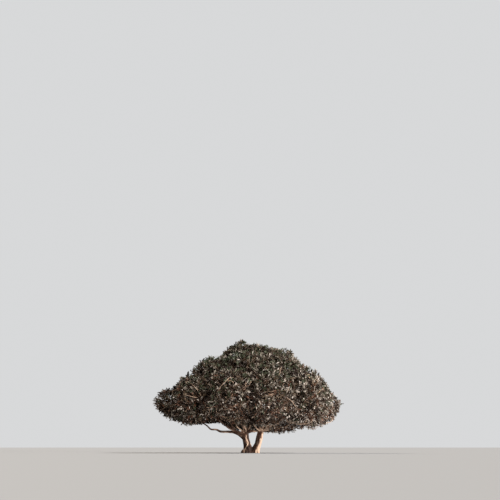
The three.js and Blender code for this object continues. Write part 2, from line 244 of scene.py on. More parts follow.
@dataclass(frozen=True)
class Swelling:
    """A rise of the crown's top, or a dip where it is below zero: its place, height and spread."""

    x: float
    y: float
    rise: float
    across: float
    deep: float

    def at(self, x: Array, y: Array) -> Array:
        """How far it lifts the top over points of the ground."""
        return self.rise * bell(x, self.x, self.across) * bell(y, self.y, self.deep)


@dataclass
class Mass:
    """One mass of foliage: the heart that it spreads from, and where its bough ends."""

    name: str
    number: int
    heart: Array
    inward: float
    entry: float
    gate: Array | None = None
    gate_way: Array | None = None

    @property
    def low(self) -> bool:
        """Whether the mass is in the crown's lower half."""
        return self.name.startswith(("skirt", "inner"))


@dataclass
class Crown:
    """The crown's outline, and its share among the masses of foliage."""

    top: float = 5.02
    swellings: tuple[Swelling, ...] = (
        Swelling(-0.38, 0.12, 0.305, 0.27, 0.27),
        Swelling(1.8, 0.1, 0.34, 0.32, 0.8),
        Swelling(2.86, 0.0, 0.36, 0.26, 0.8),
        Swelling(2.35, 0.0, -0.22, 0.14, 0.8),
        Swelling(3.75, 0.0, -0.2, 0.3, 0.8),
        Swelling(-1.5, 0.0, -0.25, 0.28, 2.5),
        Swelling(-3.56, 0.0, -0.28, 0.3, 2.5),
    )
    right: Side = Side(4.12, 1.99, 0.88, 0.96, 4.5)
    back: Side = Side(4.0, 2.08, 0.76, 1.04, 4.5)
    left: Side = Side(4.42, 2.45, 1.3, 1.25, 6)
    front: Side = Side(4.0, 2.08, 0.76, 1.32, 4.5)
    bluntness: float = 1.055
    arch_place: float = -1.6
    arch_rise: float = 0.25
    arch_spread: float = 0.7
    valley_depth: float = 0.15
    valley_width: float = 0.38
    valley_below: float = 0.25
    margin: float = 0.014
    outward_spread: float = 1.75
    jitter: float = 0.11
    middle_height: float = 0.45
    stride: float = 0.04
    halvings: int = 7
    under_peak: float = 0.001
    seed: int = 1
    rings: tuple[Ring, ...] = (
        Ring("skirt", 10, 0.7, 0.44, 180, 1.15, 1.02),
        Ring("shoulder", 6, 0.43, 0.7, 210, 1.0, 0.9),
        Ring("top", 3, 0.14, 0.82, 165, 0.9, 0.82),
        Ring("inner", 3, 0.27, 0.17, 270, 1.15, 0.42),
    )

    def __post_init__(self) -> None:
        """Places the hearts of the masses."""
        self.middle = np.array([0.0, 0.0, self.top * self.middle_height])
        self.masses = self.place_masses()
        self.hearts = np.array([mass.heart for mass in self.masses])

    def outline(self, x: Array, y: Array, valley: Array | float = 0.0) -> tuple[Array, ...]:
        """Reads the crown over points of the ground.

        Args:
            x: How far right each point is.
            y: How far back each point is.
            valley: How deep a valley between lobes is there.

        Returns:
            How far out each point is as a share, the crown's top and underside there, its reach on
            that side and the height of its rim.
        """
        across = np.where(x > 0, self.right.values(), self.left.values())
        along = np.where(y > 0, self.back.values(), self.front.values())
        share = x * x / np.maximum(x * x + y * y, TINY)
        reach, rim, fullness, underside, sweep = across * share + along * (1 - share)
        out = np.hypot(x, y) / (reach - valley)
        wide = out / self.bluntness
        inside = np.maximum(1 - wide * wide, 0)
        swollen = sum(swelling.at(x, y) for swelling in self.swellings)
        top = rim + (self.top - rim) * inside**fullness + swollen - valley
        arch = self.arch_rise * bell(x, self.arch_place, self.arch_spread)
        low = underside + (rim - underside) * wide**sweep + valley * self.valley_below + arch
        return out, top, low, reach, rim

    def place_masses(self) -> list[Mass]:
        """Sets the heart of each mass, ring by ring.

        Returns:
            The masses in order.
        """
        stream = Stream(self.seed)
        masses = []
        for ring in self.rings:
            for i in range(ring.count):
                turn = math.radians(ring.turn + 360 * i / ring.count)
                way = np.array([math.cos(turn), math.sin(turn)])
                far = self.outline(way[:1], way[1:])[3][0] * ring.out
                x, y = (far * part + self.jitter * (stream.draw() - 0.5) for part in way)
                _, top, low, _, _ = self.outline(np.array([x]), np.array([y]))
                z = low[0] + ring.up * (top[0] - low[0]) + self.jitter * (stream.draw() - 0.5)
                heart = np.array([x, y, z])
                name = f"{ring.name}_{i + 1}"
                masses.append(Mass(name, len(masses), heart, ring.inward, ring.entry))
        return masses

    def holds(self, mass: Mass, points: Array, beyond: float = 0.0, shared: float = 0.0) -> Array:
        """Tells which points belong to a mass: nearer to its heart than to any other, in the crown.

        Args:
            mass: The mass that is asked about.
            points: Rows of points.
            beyond: How far past the crown's outline still counts.
            shared: How far leaf tips may mingle with those of the next mass.

        Returns:
            True for each point of the mass.
        """
        apart = np.linalg.norm(points[:, None, :] - self.hearts[None], axis=2)
        own = apart[:, mass.number].copy()
        apart[:, mass.number] = np.inf
        slack = apart.min(axis=1) - own
        valley = self.valley_depth * bell(slack, 0, self.valley_width)
        out, top, low, reach, _ = self.outline(points[:, 0], points[:, 1], valley)
        inside = (out < 1 + beyond / reach) & (points[:, 2] < top + beyond)
        return (slack >= 2 * (self.margin - shared)) & inside & (points[:, 2] > low - beyond)

    def reach_of(self, mass: Mass, ways: Array) -> Array:
        """Measures how far a mass reaches from its heart.

        Args:
            mass: The mass.
            ways: Rows of unit directions.

        Returns:
            The reach in each direction.
        """
        facing = 0.5 + 0.5 * ways @ unit(mass.heart - self.middle)
        most = mass.inward + (self.outward_spread - mass.inward) * facing
        near = np.zeros(len(ways))
        growing = np.ones(len(ways), bool)
        while growing.any():
            further = near + self.stride
            growing &= further < most
            growing &= self.holds(mass, mass.heart + ways * further[:, None])
            near[growing] += self.stride
        far = np.minimum(near + self.stride, most)
        for _ in range(self.halvings):
            half = (near + far) / 2
            held = self.holds(mass, mass.heart + ways * half[:, None])
            near, far = np.where(held, half, near), np.where(held, far, half)
        return near

    def tip_of(self, mass: Mass) -> Array:
        """Finds the furthest tip of the crown towards a mass.

        Args:
            mass: The mass.

        Returns:
            A point on the rim for a skirt mass, and else on the crown's top.
        """
        x, y = mass.heart[:1], mass.heart[1:2]
        _, top, _, reach, rim = self.outline(x, y)
        if mass.name.startswith("skirt"):
            return np.array([*(unit(mass.heart[:2]) * reach[0]), rim[0]])
        highest = self.swellings[0]
        place = np.array([[highest.x], [highest.y]])
        peak = np.array([highest.x, highest.y, self.outline(*place)[1][0]])
        if self.holds(mass, (peak - UP * self.under_peak)[None])[0]:
            return peak
        return np.array([x[0], y[0], top[0]])


class Path:
    """A line through space with a girth: the axis of a stem or limb."""

    ROUGH = np.linspace(0, 1, 9)
    FEWEST = 6
    NUDGE = 0.01

    def points(self, shares: Array) -> Array:
        """Points at shares of the path."""
        raise NotImplementedError

    def radii(self, shares: Array) -> Array:
        """Radii at shares of the path."""
        raise NotImplementedError

    def ways(self, shares: Array) -> Array:
        """Directions that the path runs in at shares of it."""
        start = self.points(np.minimum(shares, 1 - self.NUDGE))
        return unit(self.points(np.minimum(shares + self.NUDGE, 1)) - start)

    def shares(self, step: float) -> Array:
        """Even shares of the path, about a step apart."""
        length = np.linalg.norm(np.diff(self.points(self.ROUGH), axis=0), axis=1).sum()
        return np.linspace(0, 1, max(int(length / step), self.FEWEST))


@dataclass
class StemPath(Path):
    """A stem's axis, smooth through its points."""

    axis: Array
    girth: Array

    def points(self, shares: Array) -> Array:
        """Points on the centripetal curve through the axis points.

        Args:
            shares: Shares of the path.

        Returns:
            Rows of points.
        """
        before, after = 2 * self.axis[0] - self.axis[1], 2 * self.axis[-1] - self.axis[-2]
        axis = np.vstack([before, self.axis, after])
        spans = len(self.axis) - 1
        place = shares * spans
        index = np.minimum(place.astype(int), spans - 1)
        p0, p1, p2, p3 = (axis[index + k] for k in range(4))
        steps = (p1 - p0, p2 - p1, p3 - p2)
        d0, d1, d2 = (np.linalg.norm(step, axis=1, keepdims=True) ** 0.5 for step in steps)
        leave = ((p1 - p0) / d0 - (p2 - p0) / (d0 + d1) + (p2 - p1) / d1) * d1
        arrive = ((p2 - p1) / d1 - (p3 - p1) / (d1 + d2) + (p3 - p2) / d2) * d1
        t = (place - index)[:, None]
        square = (-3 * p1 + 3 * p2 - 2 * leave - arrive) * t**2
        return p1 + leave * t + square + (2 * p1 - 2 * p2 + leave + arrive) * t**3

    def radii(self, shares: Array) -> Array:
        """Radii between those at the axis points."""
        return np.interp(shares * (len(self.girth) - 1), np.arange(len(self.girth)), self.girth)


@dataclass
class LimbPath(Path):
    """A limb's axis: it leaves its parent, sags and crooks, and rises into its mass."""

    corners: Array
    sides: tuple[Array, Array]
    phases: Pair
    crook: float
    waves: float
    sag: float
    foot: float
    tip: float
    taper: float
    quicker: float = 1.3

    def points(self, shares: Array) -> Array:
        """Points on the limb's bend, with its crooks.

        Args:
            shares: Shares of the path.

        Returns:
            Rows of points.
        """
        t = shares[:, None]
        weights = ((1 - t) ** 3, 3 * t * (1 - t) ** 2, 3 * t**2 * (1 - t), t**3)
        bend = sum(weight * corner for weight, corner in zip(weights, self.corners))
        hold = np.sin(math.pi * t)
        turns = self.waves * 2 * math.pi * t
        first = np.sin(turns + self.phases[0]) * self.sides[0]
        second = np.sin(self.quicker * turns + self.phases[1]) * self.sides[1]
        return bend + self.crook * hold * (first + second) - self.sag * hold**2 * UP

    def radii(self, shares: Array) -> Array:
        """Radii that taper from the foot to the tip."""
        return self.tip + (self.foot - self.tip) * (1 - shares) ** self.taper


@dataclass(frozen=True)
class Limb:
    """How one limb grows: its parent, where it leaves it, its bends, and the mass at its end."""

    parent: str
    leaves: float
    mass: str
    under: float = 0.0
    sag: float = 0.0
    crook: float = 0.028
    waves: float = 1.5
    stout: float = 1.0
    through: tuple[tuple[float, float, float], ...] = ()


@dataclass
class Skeleton:
    """The two stems and the limbs that fan out from them, as paths."""

    crown: Crown
    tip: float = 0.029
    foot: float = 1.5
    branching: float = 2.2
    taper: float = 1.2
    entry_share: float = 0.86
    like_parent: float = 0.35
    upright: float = 0.25
    foot_hold: float = 0.35
    tip_hold: float = 0.3
    first_seed: int = 40
    left_axis: tuple = (
        (-0.175, -0.025, -0.06), (-0.155, -0.025, 0.23), (-0.19, -0.03, 0.42),
        (-0.236, -0.035, 0.62), (-0.272, -0.04, 0.88),
    )
    left_radii: tuple = (0.205, 0.195, 0.17, 0.162, 0.158)
    right_axis: tuple = (
        (0.15, 0.035, -0.06), (0.235, 0.04, 0.23), (0.325, 0.05, 0.44),
        (0.388, 0.058, 0.73), (0.452, 0.065, 1.03),
    )
    right_radii: tuple = (0.19, 0.168, 0.157, 0.152, 0.142)
    limbs: dict[str, Limb] = field(default_factory=lambda: {
        "high_left": Limb("left_stem", 0.97, "skirt_2", 0.3, through=(
            (-0.43, -0.09, 0.905), (-0.735, -0.23, 1.0), (-0.984, -0.38, 1.12),
            (-1.2, -0.56, 1.28), (-1.4, -0.8, 1.44),
        )),
        "low_left": Limb("left_stem", 0.74, "skirt_1", 0.75, stout=1.9, through=(
            (-0.36, -0.04, 0.7), (-0.67, -0.05, 0.905), (-1.02, -0.045, 0.97), (-1.4, -0.04, 0.98),
            (-1.6, -0.04, 1.065), (-1.85, -0.05, 1.085), (-2.03, -0.05, 1.245),
        )),
        "rise_left": Limb("left_stem", 0.97, "top_1"),
        "cross": Limb("left_stem", 0.93, "skirt_8", through=(
            (-0.15, 0.02, 0.93), (0.01, 0.08, 0.985), (0.22, 0.2, 1.005),
            (0.43, 0.48, 1.06), (0.5, 1.1, 1.39),
        )),
        "rise_right": Limb("right_stem", 1.0, "shoulder_3"),
        "low_right": Limb("right_stem", 0.93, "skirt_6", 0.6, 0.17, 0.04, 2),
        "lean_left": Limb("right_stem", 0.98, "top_2"),
        "low_front": Limb("right_stem", 0.87, "skirt_5", sag=0.12),
        "left_back": Limb("high_left", 0.2, "skirt_10", sag=0.06),
        "shoulder_front_left": Limb("high_left", 0.3, "shoulder_1"),
        "front_left": Limb("rise_left", 0.14, "skirt_3", sag=0.09),
        "shoulder_back_left": Limb("rise_left", 0.36, "shoulder_6"),
        "shoulder_back": Limb("rise_left", 0.46, "shoulder_5"),
        "back_left": Limb("cross", 0.3, "skirt_9", sag=0.06),
        "right_back": Limb("low_right", 0.24, "skirt_7", sag=0.06),
        "shoulder_back_right": Limb("rise_right", 0.34, "shoulder_4"),
        "rise_back": Limb("rise_right", 0.46, "top_3"),
        "front_right": Limb("low_front", 0.2, "skirt_4", sag=0.06),
        "shoulder_front": Limb("lean_left", 0.4, "shoulder_2"),
        "inner_front": Limb("lean_left", 0.14, "inner_1"),
        "inner_right": Limb("rise_right", 0.12, "inner_2"),
        "inner_left": Limb("cross", 0.14, "inner_3"),
    })
    sprouts: tuple = (
        ((-0.26, -0.07, 0.86), (-0.22, -0.2, 1.02), (-0.29, -0.32, 1.2), (-0.36, -0.5, 1.42)),
        ((-0.25, -0.06, 0.88), (-0.13, -0.22, 1.06), (-0.04, -0.4, 1.22), (-0.1, -0.6, 1.5)),
        ((-0.3, -0.06, 0.88), (-0.46, -0.2, 1.05), (-0.62, -0.36, 1.17), (-0.74, -0.56, 1.4)),
        ((0.45, 0.0, 1.0), (0.4, -0.16, 1.2), (0.34, -0.3, 1.42), (0.33, -0.44, 1.7)),
        ((0.46, 0.0, 1.02), (0.56, -0.18, 1.2), (0.68, -0.3, 1.34), (0.72, -0.5, 1.6)),
        ((0.47, 0.0, 0.98), (0.68, -0.16, 1.1), (0.92, -0.3, 1.26), (1.12, -0.46, 1.44)),
        ((0.44, 0.02, 0.98), (0.24, -0.18, 1.14), (0.12, -0.38, 1.32), (0.16, -0.6, 1.56)),
    )
    sprout_radii: tuple[float, ...] = (0.036, 0.028, 0.022, 0.014)

    def __post_init__(self) -> None:
        """Works out every path, parents before children."""
        self.paths: dict[str, Path] = {
            "left_stem": StemPath(np.array(self.left_axis), np.array(self.left_radii)),
            "right_stem": StemPath(np.array(self.right_axis), np.array(self.right_radii)),
        }
        masses = {mass.name: mass for mass in self.crown.masses}
        for i, (name, limb) in enumerate(self.limbs.items()):
            self.paths[name] = self.limb_path(name, masses[limb.mass], Stream(self.first_seed + i))
        for i, axis in enumerate(self.sprouts):
            self.paths[f"sprout_{i + 1}"] = StemPath(np.array(axis), np.array(self.sprout_radii))

    def masses_fed(self, name: str) -> int:
        """Counts the masses at the ends of a limb and of those that grow from it."""
        children = [child for child, limb in self.limbs.items() if limb.parent == name]
        return 1 + sum(self.masses_fed(child) for child in children)

    def limb_path(self, name: str, mass: Mass, stream: Stream) -> Path:
        """Lays a limb from its parent to its mass, and sets the mass's gate at its end.

        Args:
            name: The limb's name.
            mass: The mass at its end.
            stream: The stream that its crooks are drawn from.

        Returns:
            The limb's path.
        """
        limb = self.limbs[name]
        parent = self.paths[limb.parent]
        leaves = np.array([limb.leaves])
        start = parent.points(leaves)[0]
        inwards = unit(unit(start - mass.heart) - limb.under * UP)
        entry = min(self.crown.reach_of(mass, inwards[None])[0] * self.entry_share, mass.entry)
        end = mass.heart + inwards * entry
        foot = limb.stout * self.tip * self.foot * self.masses_fed(name) ** (1 / self.branching)
        if limb.through:
            axis = np.array([start, *limb.through, end])
            shares = np.linspace(0, 1, len(axis))
            path = StemPath(axis, self.tip + (foot - self.tip) * (1 - shares) ** self.taper)
        else:
            way, length = unit(end - start), np.linalg.norm(end - start)
            depart = unit(self.like_parent * parent.ways(leaves)[0] + (1 - self.like_parent) * way)
            arrive = unit((1 - self.upright) * way + self.upright * UP)
            leaving, arriving = depart * length * self.foot_hold, arrive * length * self.tip_hold
            phases = (stream.draw() * 2 * math.pi, stream.draw() * 2 * math.pi)
            path = LimbPath(
                np.array([start, start + leaving, end - arriving, end]), square_to(way), phases,
                limb.crook, limb.waves, limb.sag, foot, self.tip, self.taper,
            )
        mass.gate, mass.gate_way = end, path.ways(np.array([1.0]))[0]
        return path

    def samples(self, step: float) -> tuple[Array, Array]:
        """Lists points along all stems and limbs, with the radius at each.

        Args:
            step: About how far apart the points are.

        Returns:
            Rows of points, and their radii.
        """
        placed = [(path, path.shares(step)) for path in self.paths.values()]
        points = np.vstack([path.points(shares) for path, shares in placed])
        return points, np.concatenate([path.radii(shares) for path, shares in placed])


@dataclass
class Shape:
    """A mesh in the making: corners and three-sided faces, with a finish number for each face."""

    corners: list[Array] = field(default_factory=list)
    faces: list[Array] = field(default_factory=list)
    finishes: list[Array] = field(default_factory=list)
    count: int = 0

    def add(self, corners: Array, faces: Array, finishes: Array | int = 0) -> None:
        """Adds corners, and faces that count from the first of them.

        Args:
            corners: Rows of points.
            faces: Rows of three corner numbers.
            finishes: The finish number of each face, or one for all.
        """
        self.corners.append(corners)
        self.faces.append(faces + self.count)
        self.finishes.append(np.broadcast_to(finishes, (len(faces),)))
        self.count += len(corners)

    def add_tubes(self, lines: Array, radii: Array, sides: int, finish: int = 0) -> None:
        """Adds closed tubes along lines.

        Args:
            lines: For each tube, the same number of points along it.
            radii: The radius at each of the points.
            sides: How many sides each tube has.
            finish: The finish number of the tubes.
        """
        tubes, steps, _ = lines.shape
        ways = unit(np.gradient(lines, axis=1))
        first = square_to(unit(lines[:, -1] - lines[:, 0]))[0][:, None]
        first = unit(first - (first * ways).sum(2, keepdims=True) * ways)
        second = np.cross(ways, first)
        k = np.arange(sides)
        turn = (k * 2 * math.pi / sides)[:, None]
        spoke = first[:, :, None] * np.cos(turn) + second[:, :, None] * np.sin(turn)
        corners = lines[:, :, None] + spoke * radii[:, :, None, None]
        ring = (np.arange(steps - 1) * sides)[:, None]
        a, b = (ring + k).ravel(), (ring + (k + 1) % sides).ravel()
        fan = np.column_stack([np.zeros(sides - 2, int), k[2:], k[1:-1]])
        one = np.vstack([
            np.column_stack([a, b, b + sides]), np.column_stack([a, b + sides, a + sides]),
            fan, fan[:, ::-1] + (steps - 1) * sides,
        ])
        start = (np.arange(tubes) * steps * sides)[:, None, None]
        self.add(corners.reshape(-1, 3), (one[None] + start).reshape(-1, 3), finish)

    def mesh(self, name: str, smooth: bool) -> Mesh:
        """Makes the Blender mesh.

        Args:
            name: The mesh's name.
            smooth: Whether its faces are shaded smooth.

        Returns:
            The mesh.
        """
        corners, faces = np.vstack(self.corners), np.vstack(self.faces)
        mesh = bpy.data.meshes.new(name)
        mesh.vertices.add(self.count)
        mesh.loops.add(faces.size)
        mesh.polygons.add(len(faces))
        mesh.vertices.foreach_set("co", corners.astype(np.float32).ravel())
        mesh.loops.foreach_set("vertex_index", faces.astype(np.int32).ravel())
        mesh.polygons.foreach_set("loop_start", np.arange(0, faces.size, 3, dtype=np.int32))
        mesh.polygons.foreach_set("material_index", np.concatenate(self.finishes).astype(np.int32))
        mesh.polygons.foreach_set("use_smooth", np.full(len(faces), smooth))
        mesh.update(calc_edges=True)
        mesh.validate()
        return mesh


class BarkPattern:
    """The node group for furrowed bark: its colour, its shine and its fine grain.

    Each layer is a colour over the ones before it: its mask, the mask's range and its strength. The
    layers on the mask of peeled strips also lay painted shade and painted highlights.
    """

    NAME = "Furrowed bark"
    GRAIN = {"Detail": 4.0, "Roughness": 0.6}
    GRAIN_SHARE = 0.5
    PATCHES = {"Scale": 3.5, "Detail": 5.0}
    LAYERS = (
        ("Bark", "level", 0.25, 0.75, 1.0),
        ("Ridge", "level", 0.8, 1.2, 1.0),
        # Dark bark patches, and painted shade.
        ("Furrow", "strip", 0.48, 0.36, 0.9),
        ("Lichen", "patches", 0.52, 0.68, 0.6),
        # Pale peeled strips, and painted highlights.
        ("Ridge", "strip", 0.54, 0.64, 0.9),
    )
    ROUGHNESS = (0.0, 1.0, 0.75, 0.95)

    def __init__(self) -> None:
        """Builds the group once."""
        self.group = bpy.data.node_groups.new(self.NAME, "ShaderNodeTree")
        for way, kind, names in (
            ("INPUT", "NodeSocketColor", ("Furrow", "Bark", "Ridge", "Lichen")),
            ("INPUT", "NodeSocketFloat", ("Grain size",)),
            ("OUTPUT", "NodeSocketColor", ("Color",)),
            ("OUTPUT", "NodeSocketFloat", ("Roughness", "Height")),
        ):
            for name in names:
                self.group.interface.new_socket(name, in_out=way, socket_type=kind)
        self.fill()

    def node(self, kind: str, inputs: dict[str | int, object], **values: object) -> bpy.types.Node:
        """Adds a node.

        Args:
            kind: The node's type.
            inputs: What each named or numbered input gets: a value, or another node's output.
            **values: The node's properties.

        Returns:
            The node.
        """
        made = self.group.nodes.new(kind)
        for name, value in values.items():
            setattr(made, name, value)
        for name, value in inputs.items():
            if isinstance(value, Socket):
                self.group.links.new(value, made.inputs[name])
            else:
                made.inputs[name].default_value = value
        return made

    def ramp(self, value: Socket, low: float, high: float, most: float, least: float = 0.0) -> Socket:
        """Maps a value between low and high onto the range from least to most."""
        ends = {"Value": value, "From Min": low, "From Max": high, "To Min": least, "To Max": most}
        return self.node("ShaderNodeMapRange", ends, clamp=True).outputs["Result"]

    def mix(self, low: Socket, high: Socket, mask: Socket) -> Socket:
        """Mixes two colours by a mask.

        Args:
            low: The colour where the mask is 0.
            high: The colour where it is 1.
            mask: The mask.

        Returns:
            The mixed colour.
        """
        made = self.node("ShaderNodeMix", {"Factor": mask}, data_type="RGBA")
        colours = [socket for socket in made.inputs if socket.type == "RGBA"]
        self.group.links.new(low, colours[0])
        self.group.links.new(high, colours[1])
        return next(socket for socket in made.outputs if socket.type == "RGBA")

    def fill(self) -> None:
        """Joins the nodes: furrow depth and grain run along each limb, and lichen lies in patches."""
        given = self.node("NodeGroupInput", {}).outputs
        # The second attribute carries the peeled strips with painted light and painted shade.
        furrow, strip, along = (
            self.node("ShaderNodeAttribute", {}, attribute_name=name).outputs
            for name in ("furrow", "strip", "grain")
        )
        place = self.node("ShaderNodeNewGeometry", {}).outputs["Position"]
        grain = {"Vector": along["Vector"], "Scale": given["Grain size"], **self.GRAIN}
        grain, patches = (
            self.node("ShaderNodeTexNoise", inputs).outputs["Fac"]
            for inputs in (grain, {"Vector": place, **self.PATCHES})
        )
        sum_of = {0: grain, 1: self.GRAIN_SHARE, 2: furrow["Fac"]}
        level = self.node("ShaderNodeMath", sum_of, operation="MULTIPLY_ADD").outputs[0]
        masks = {"level": level, "strip": strip["Fac"], "patches": patches}
        colour = given["Furrow"]
        for layer, mask, low, high, most in self.LAYERS:
            colour = self.mix(colour, given[layer], self.ramp(masks[mask], low, high, most))
        rough = self.ramp(level, *self.ROUGHNESS)
        self.node("NodeGroupOutput", {"Color": colour, "Roughness": rough, "Height": level})


@dataclass(frozen=True)
class BarkFinish:
    """The finish of stems and boughs."""

    name: str = "furrowed bark"
    # The furrow colour is also the colour of painted shade, and the ridge colour that of painted
    # highlights.
    furrow: Colour = (38, 14, 6)
    bark: Colour = (114, 68, 44)
    ridge: Colour = (250, 218, 192)
    lichen: Colour = (136, 104, 86)
    grain_size: float = 60.0
    bump: float = 0.8
    bump_depth: float = 0.008

    def material(self, pattern: BarkPattern) -> Material:
        """Makes the material.

        Args:
            pattern: The bark's node group.

        Returns:
            The material.
        """
        made = bpy.data.materials.new(self.name)
        made.use_nodes = True
        nodes, link = made.node_tree.nodes, made.node_tree.links.new
        shader = nodes["Principled BSDF"]
        bark = nodes.new("ShaderNodeGroup")
        bark.node_tree = pattern.group
        colours = {"Furrow": self.furrow, "Bark": self.bark, "Ridge": self.ridge, "Lichen": self.lichen}
        for socket, colour in colours.items():
            bark.inputs[socket].default_value = linear(*colour)
        bark.inputs["Grain size"].default_value = self.grain_size
        bump = nodes.new("ShaderNodeBump")
        bump.inputs["Strength"].default_value = self.bump
        bump.inputs["Distance"].default_value = self.bump_depth
        link(bark.outputs["Color"], shader.inputs["Base Color"])
        link(bark.outputs["Roughness"], shader.inputs["Roughness"])
        link(bark.outputs["Height"], bump.inputs["Height"])
        link(bump.outputs["Normal"], shader.inputs["Normal"])
        return made


@dataclass(frozen=True)
class PlainFinish:
    """A finish of one plain colour, for pieces too small to hold a pattern."""

    name: str
    colour: Colour
    roughness: float

    def material(self) -> Material:
        """Makes the material.

        Returns:
            The material.
        """
        made = bpy.data.materials.new(self.name)
        made.use_nodes = True
        shader = made.node_tree.nodes["Principled BSDF"]
        shader.inputs["Base Color"].default_value = linear(*self.colour)
        shader.inputs["Roughness"].default_value = self.roughness
        return made


class Tint(Enum):
    """The tints of the leaves, which are dealt out by spray."""

    # SHADED is dealt more deep inside, low down and to the left, as painted shade; GREY and PALE more to
    # the right, as painted light.
    SHADED = PlainFinish("leaf shaded brown", (48, 32, 21), 0.55)
    OLIVE = PlainFinish("leaf olive", (78, 84, 64), 0.5)
    RUSSET = PlainFinish("leaf russet", (116, 79, 60), 0.55)
    DUSTY = PlainFinish("leaf dusty brown", (98, 82, 65), 0.55)
    GREY = PlainFinish("leaf grey beige", (148, 139, 127), 0.5)
    PALE = PlainFinish("leaf pale", (210, 200, 190), 0.5)


HIGH_TWIG = PlainFinish("twig grey beige", (160, 147, 132), 0.8)
LOW_TWIG = PlainFinish("twig warm tan", (208, 178, 154), 0.8)
SHOOT = PlainFinish("shoot brown", (112, 86, 70), 0.75)


@dataclass
class Bark:
    """The stems and boughs as one skin of furrowed bark, with its root flare.

    Each pair that ends in _part is where a change begins and over how wide a way it comes in.
    """

    skeleton: Skeleton
    voxel: float = 0.014
    smoothing: int = 3
    smooth_share: float = 0.5
    stem_sides: int = 28
    limb_sides: int = 14
    step: float = 0.04
    flare: float = 0.13
    flare_fade: float = 0.15
    dome: tuple[int, ...] = (18, 36, 54, 72)
    collar: float = 0.35
    collar_fade: float = 0.14
    toes: int = 8
    toe_turn: float = 0.5
    toe_reach: tuple[float, float, float] = (0.2, 0.08, 0.16)
    toe_focus: int = 8
    toe_start: float = 0.05
    toe_profile: tuple = ((0.5, 0.045, 0.085), (0.8, 0.02, 0.02), (1.0, 0.0, -0.015))
    toe_radii: tuple[float, ...] = (0.085, 0.07, 0.04, 0.014)
    furrow_size: float = 0.042
    furrow_length: float = 0.21
    furrow_depth: float = 0.016
    furrow_level: float = 0.75
    furrow_sharpness: float = 0.7
    furrow_gain: float = 1.5
    fine_furrows: float = 1.9
    fine_share: float = 0.3
    wander_size: float = 0.12
    wander: float = 1.2
    full_girth: float = 0.15
    strip_size: float = 0.1
    strip_length: float = 0.5
    grain_stretch: float = 0.25
    limb_shift: float = 3.7
    # From here to streak_gain: painted light and painted shade on the bark, a painted highlight on the
    # lit right, painted shade on the left and in the crotch, painted light on the limbs over the forks
    # and a painted highlight streak on the left stem.
    right_part: Pair = (0.05, 0.1)
    sunny_side: float = 0.3
    sunny_part: Pair = (0.05, 0.35)
    sunny_least: float = -0.4
    left_part: Pair = (-0.02, -0.12)
    left_shade: float = 0.24
    lit_limb_part: Pair = (0.9, 0.35)
    lit_limb_side_part: Pair = (-0.85, 0.2)
    lit_limb_gain: float = 0.32
    young_bark: float = 0.06
    crotch: Pair = (0.06, 0.17)
    crotch_part: Pair = (0.3, -0.12)
    crotch_shade: float = 0.4
    streak: tuple = (
        (-0.25, 0.72), (-0.19, 0.6), (-0.128, 0.47), (-0.143, 0.38), (-0.237, 0.25), (-0.34, 0.0),
    )
    streak_width: float = 0.02
    streak_part: Pair = (0.72, -0.12)
    streak_gain: float = 0.8
    burl_size: float = 0.22
    burl_depth: float = 0.024
    lattice: int = 32
    noise_shifts: tuple[float, ...] = (0.0, 7.3, 0.0, 3.1, 0.0, 5.7)
    seed: int = 11

    def tubes(self) -> Shape:
        """Makes a rough tube along each stem, limb and root.

        Returns:
            The tubes, which overlap where they meet.
        """
        shape = Shape()
        for name, path in self.skeleton.paths.items():
            shares = path.shares(self.step)
            lines, radii, sides = path.points(shares), path.radii(shares), self.limb_sides
            if name.endswith("stem"):
                radii = radii * (1 + self.flare * np.exp(-np.maximum(lines[:, 2], 0) / self.flare_fade))
                dome = np.radians(self.dome)
                onward = path.ways(np.ones(1))[0]
                lines = np.vstack([lines, lines[-1] + onward * radii[-1] * np.sin(dome)[:, None]])
                radii = np.concatenate([radii, radii[-1] * np.cos(dome)])
                sides = self.stem_sides
            else:
                gone = np.linalg.norm(lines - lines[0], axis=1)
                radii = radii * (1 + self.collar * np.exp(-gone / self.collar_fade))
            shape.add_tubes(lines[None], radii[None], sides)
        self.add_toes(shape)
        return shape

    def add_toes(self, shape: Shape) -> None:
        """Adds the toes where the roots leave the foot of the stems and sink to the ground.

        Args:
            shape: The shape that they are added to.
        """
        rng = np.random.default_rng(self.seed)
        least, more, leftwards = self.toe_reach
        for i in range(self.toes):
            turn = 2 * math.pi * (i + self.toe_turn * rng.random()) / self.toes
            way = np.array([math.cos(turn), math.sin(turn), 0.0])
            axis = self.skeleton.left_axis if way[0] < 0 else self.skeleton.right_axis
            centre = np.array([*axis[0][:2], 0.0])
            far = least + more * rng.random() + leftwards * max(-way[0], 0) ** self.toe_focus
            line = [np.array(axis[1]) + way * self.toe_start]
            line += [centre + way * (share * far + out) + UP * up for share, out, up in self.toe_profile]
            shape.add_tubes(np.array([line]), np.array([self.toe_radii]), self.limb_sides)

    def fused(self) -> Mesh:
        """Fuses the tubes into one skin, smooth at the forks.

        Returns:
            The fused mesh.
        """
        rough = put_in_scene("rough_bark", self.tubes().mesh("rough_bark", False))
        remesh = rough.modifiers.new("skin", "REMESH")
        remesh.mode = "VOXEL"
        remesh.voxel_size = self.voxel
        smooth = rough.modifiers.new("smooth", "SMOOTH")
        smooth.factor = self.smooth_share
        smooth.iterations = self.smoothing
        graph = bpy.context.evaluated_depsgraph_get()
        fused = bpy.data.meshes.new_from_object(rough.evaluated_get(graph))
        bpy.data.objects.remove(rough)
        return fused

    def noise(self, points: Array, number: int) -> Array:
        """Reads smooth noise from 0 to 1.

        Args:
            points: Rows of points, in cells of the noise.
            number: Which noise it is.

        Returns:
            The noise at each point.
        """
        values = np.random.default_rng(self.seed + number).random((self.lattice,) * 3)
        points = points + self.noise_shifts[number]
        low = np.floor(points).astype(int)
        part = points - low
        part = part * part * (3 - 2 * part)
        total = np.zeros(len(points))
        for corner in np.ndindex(2, 2, 2):
            weight = np.prod(np.where(corner, part, 1 - part), axis=1)
            i, j, k = ((low + corner) % self.lattice).T
            total += weight * values[i, j, k]
        return total

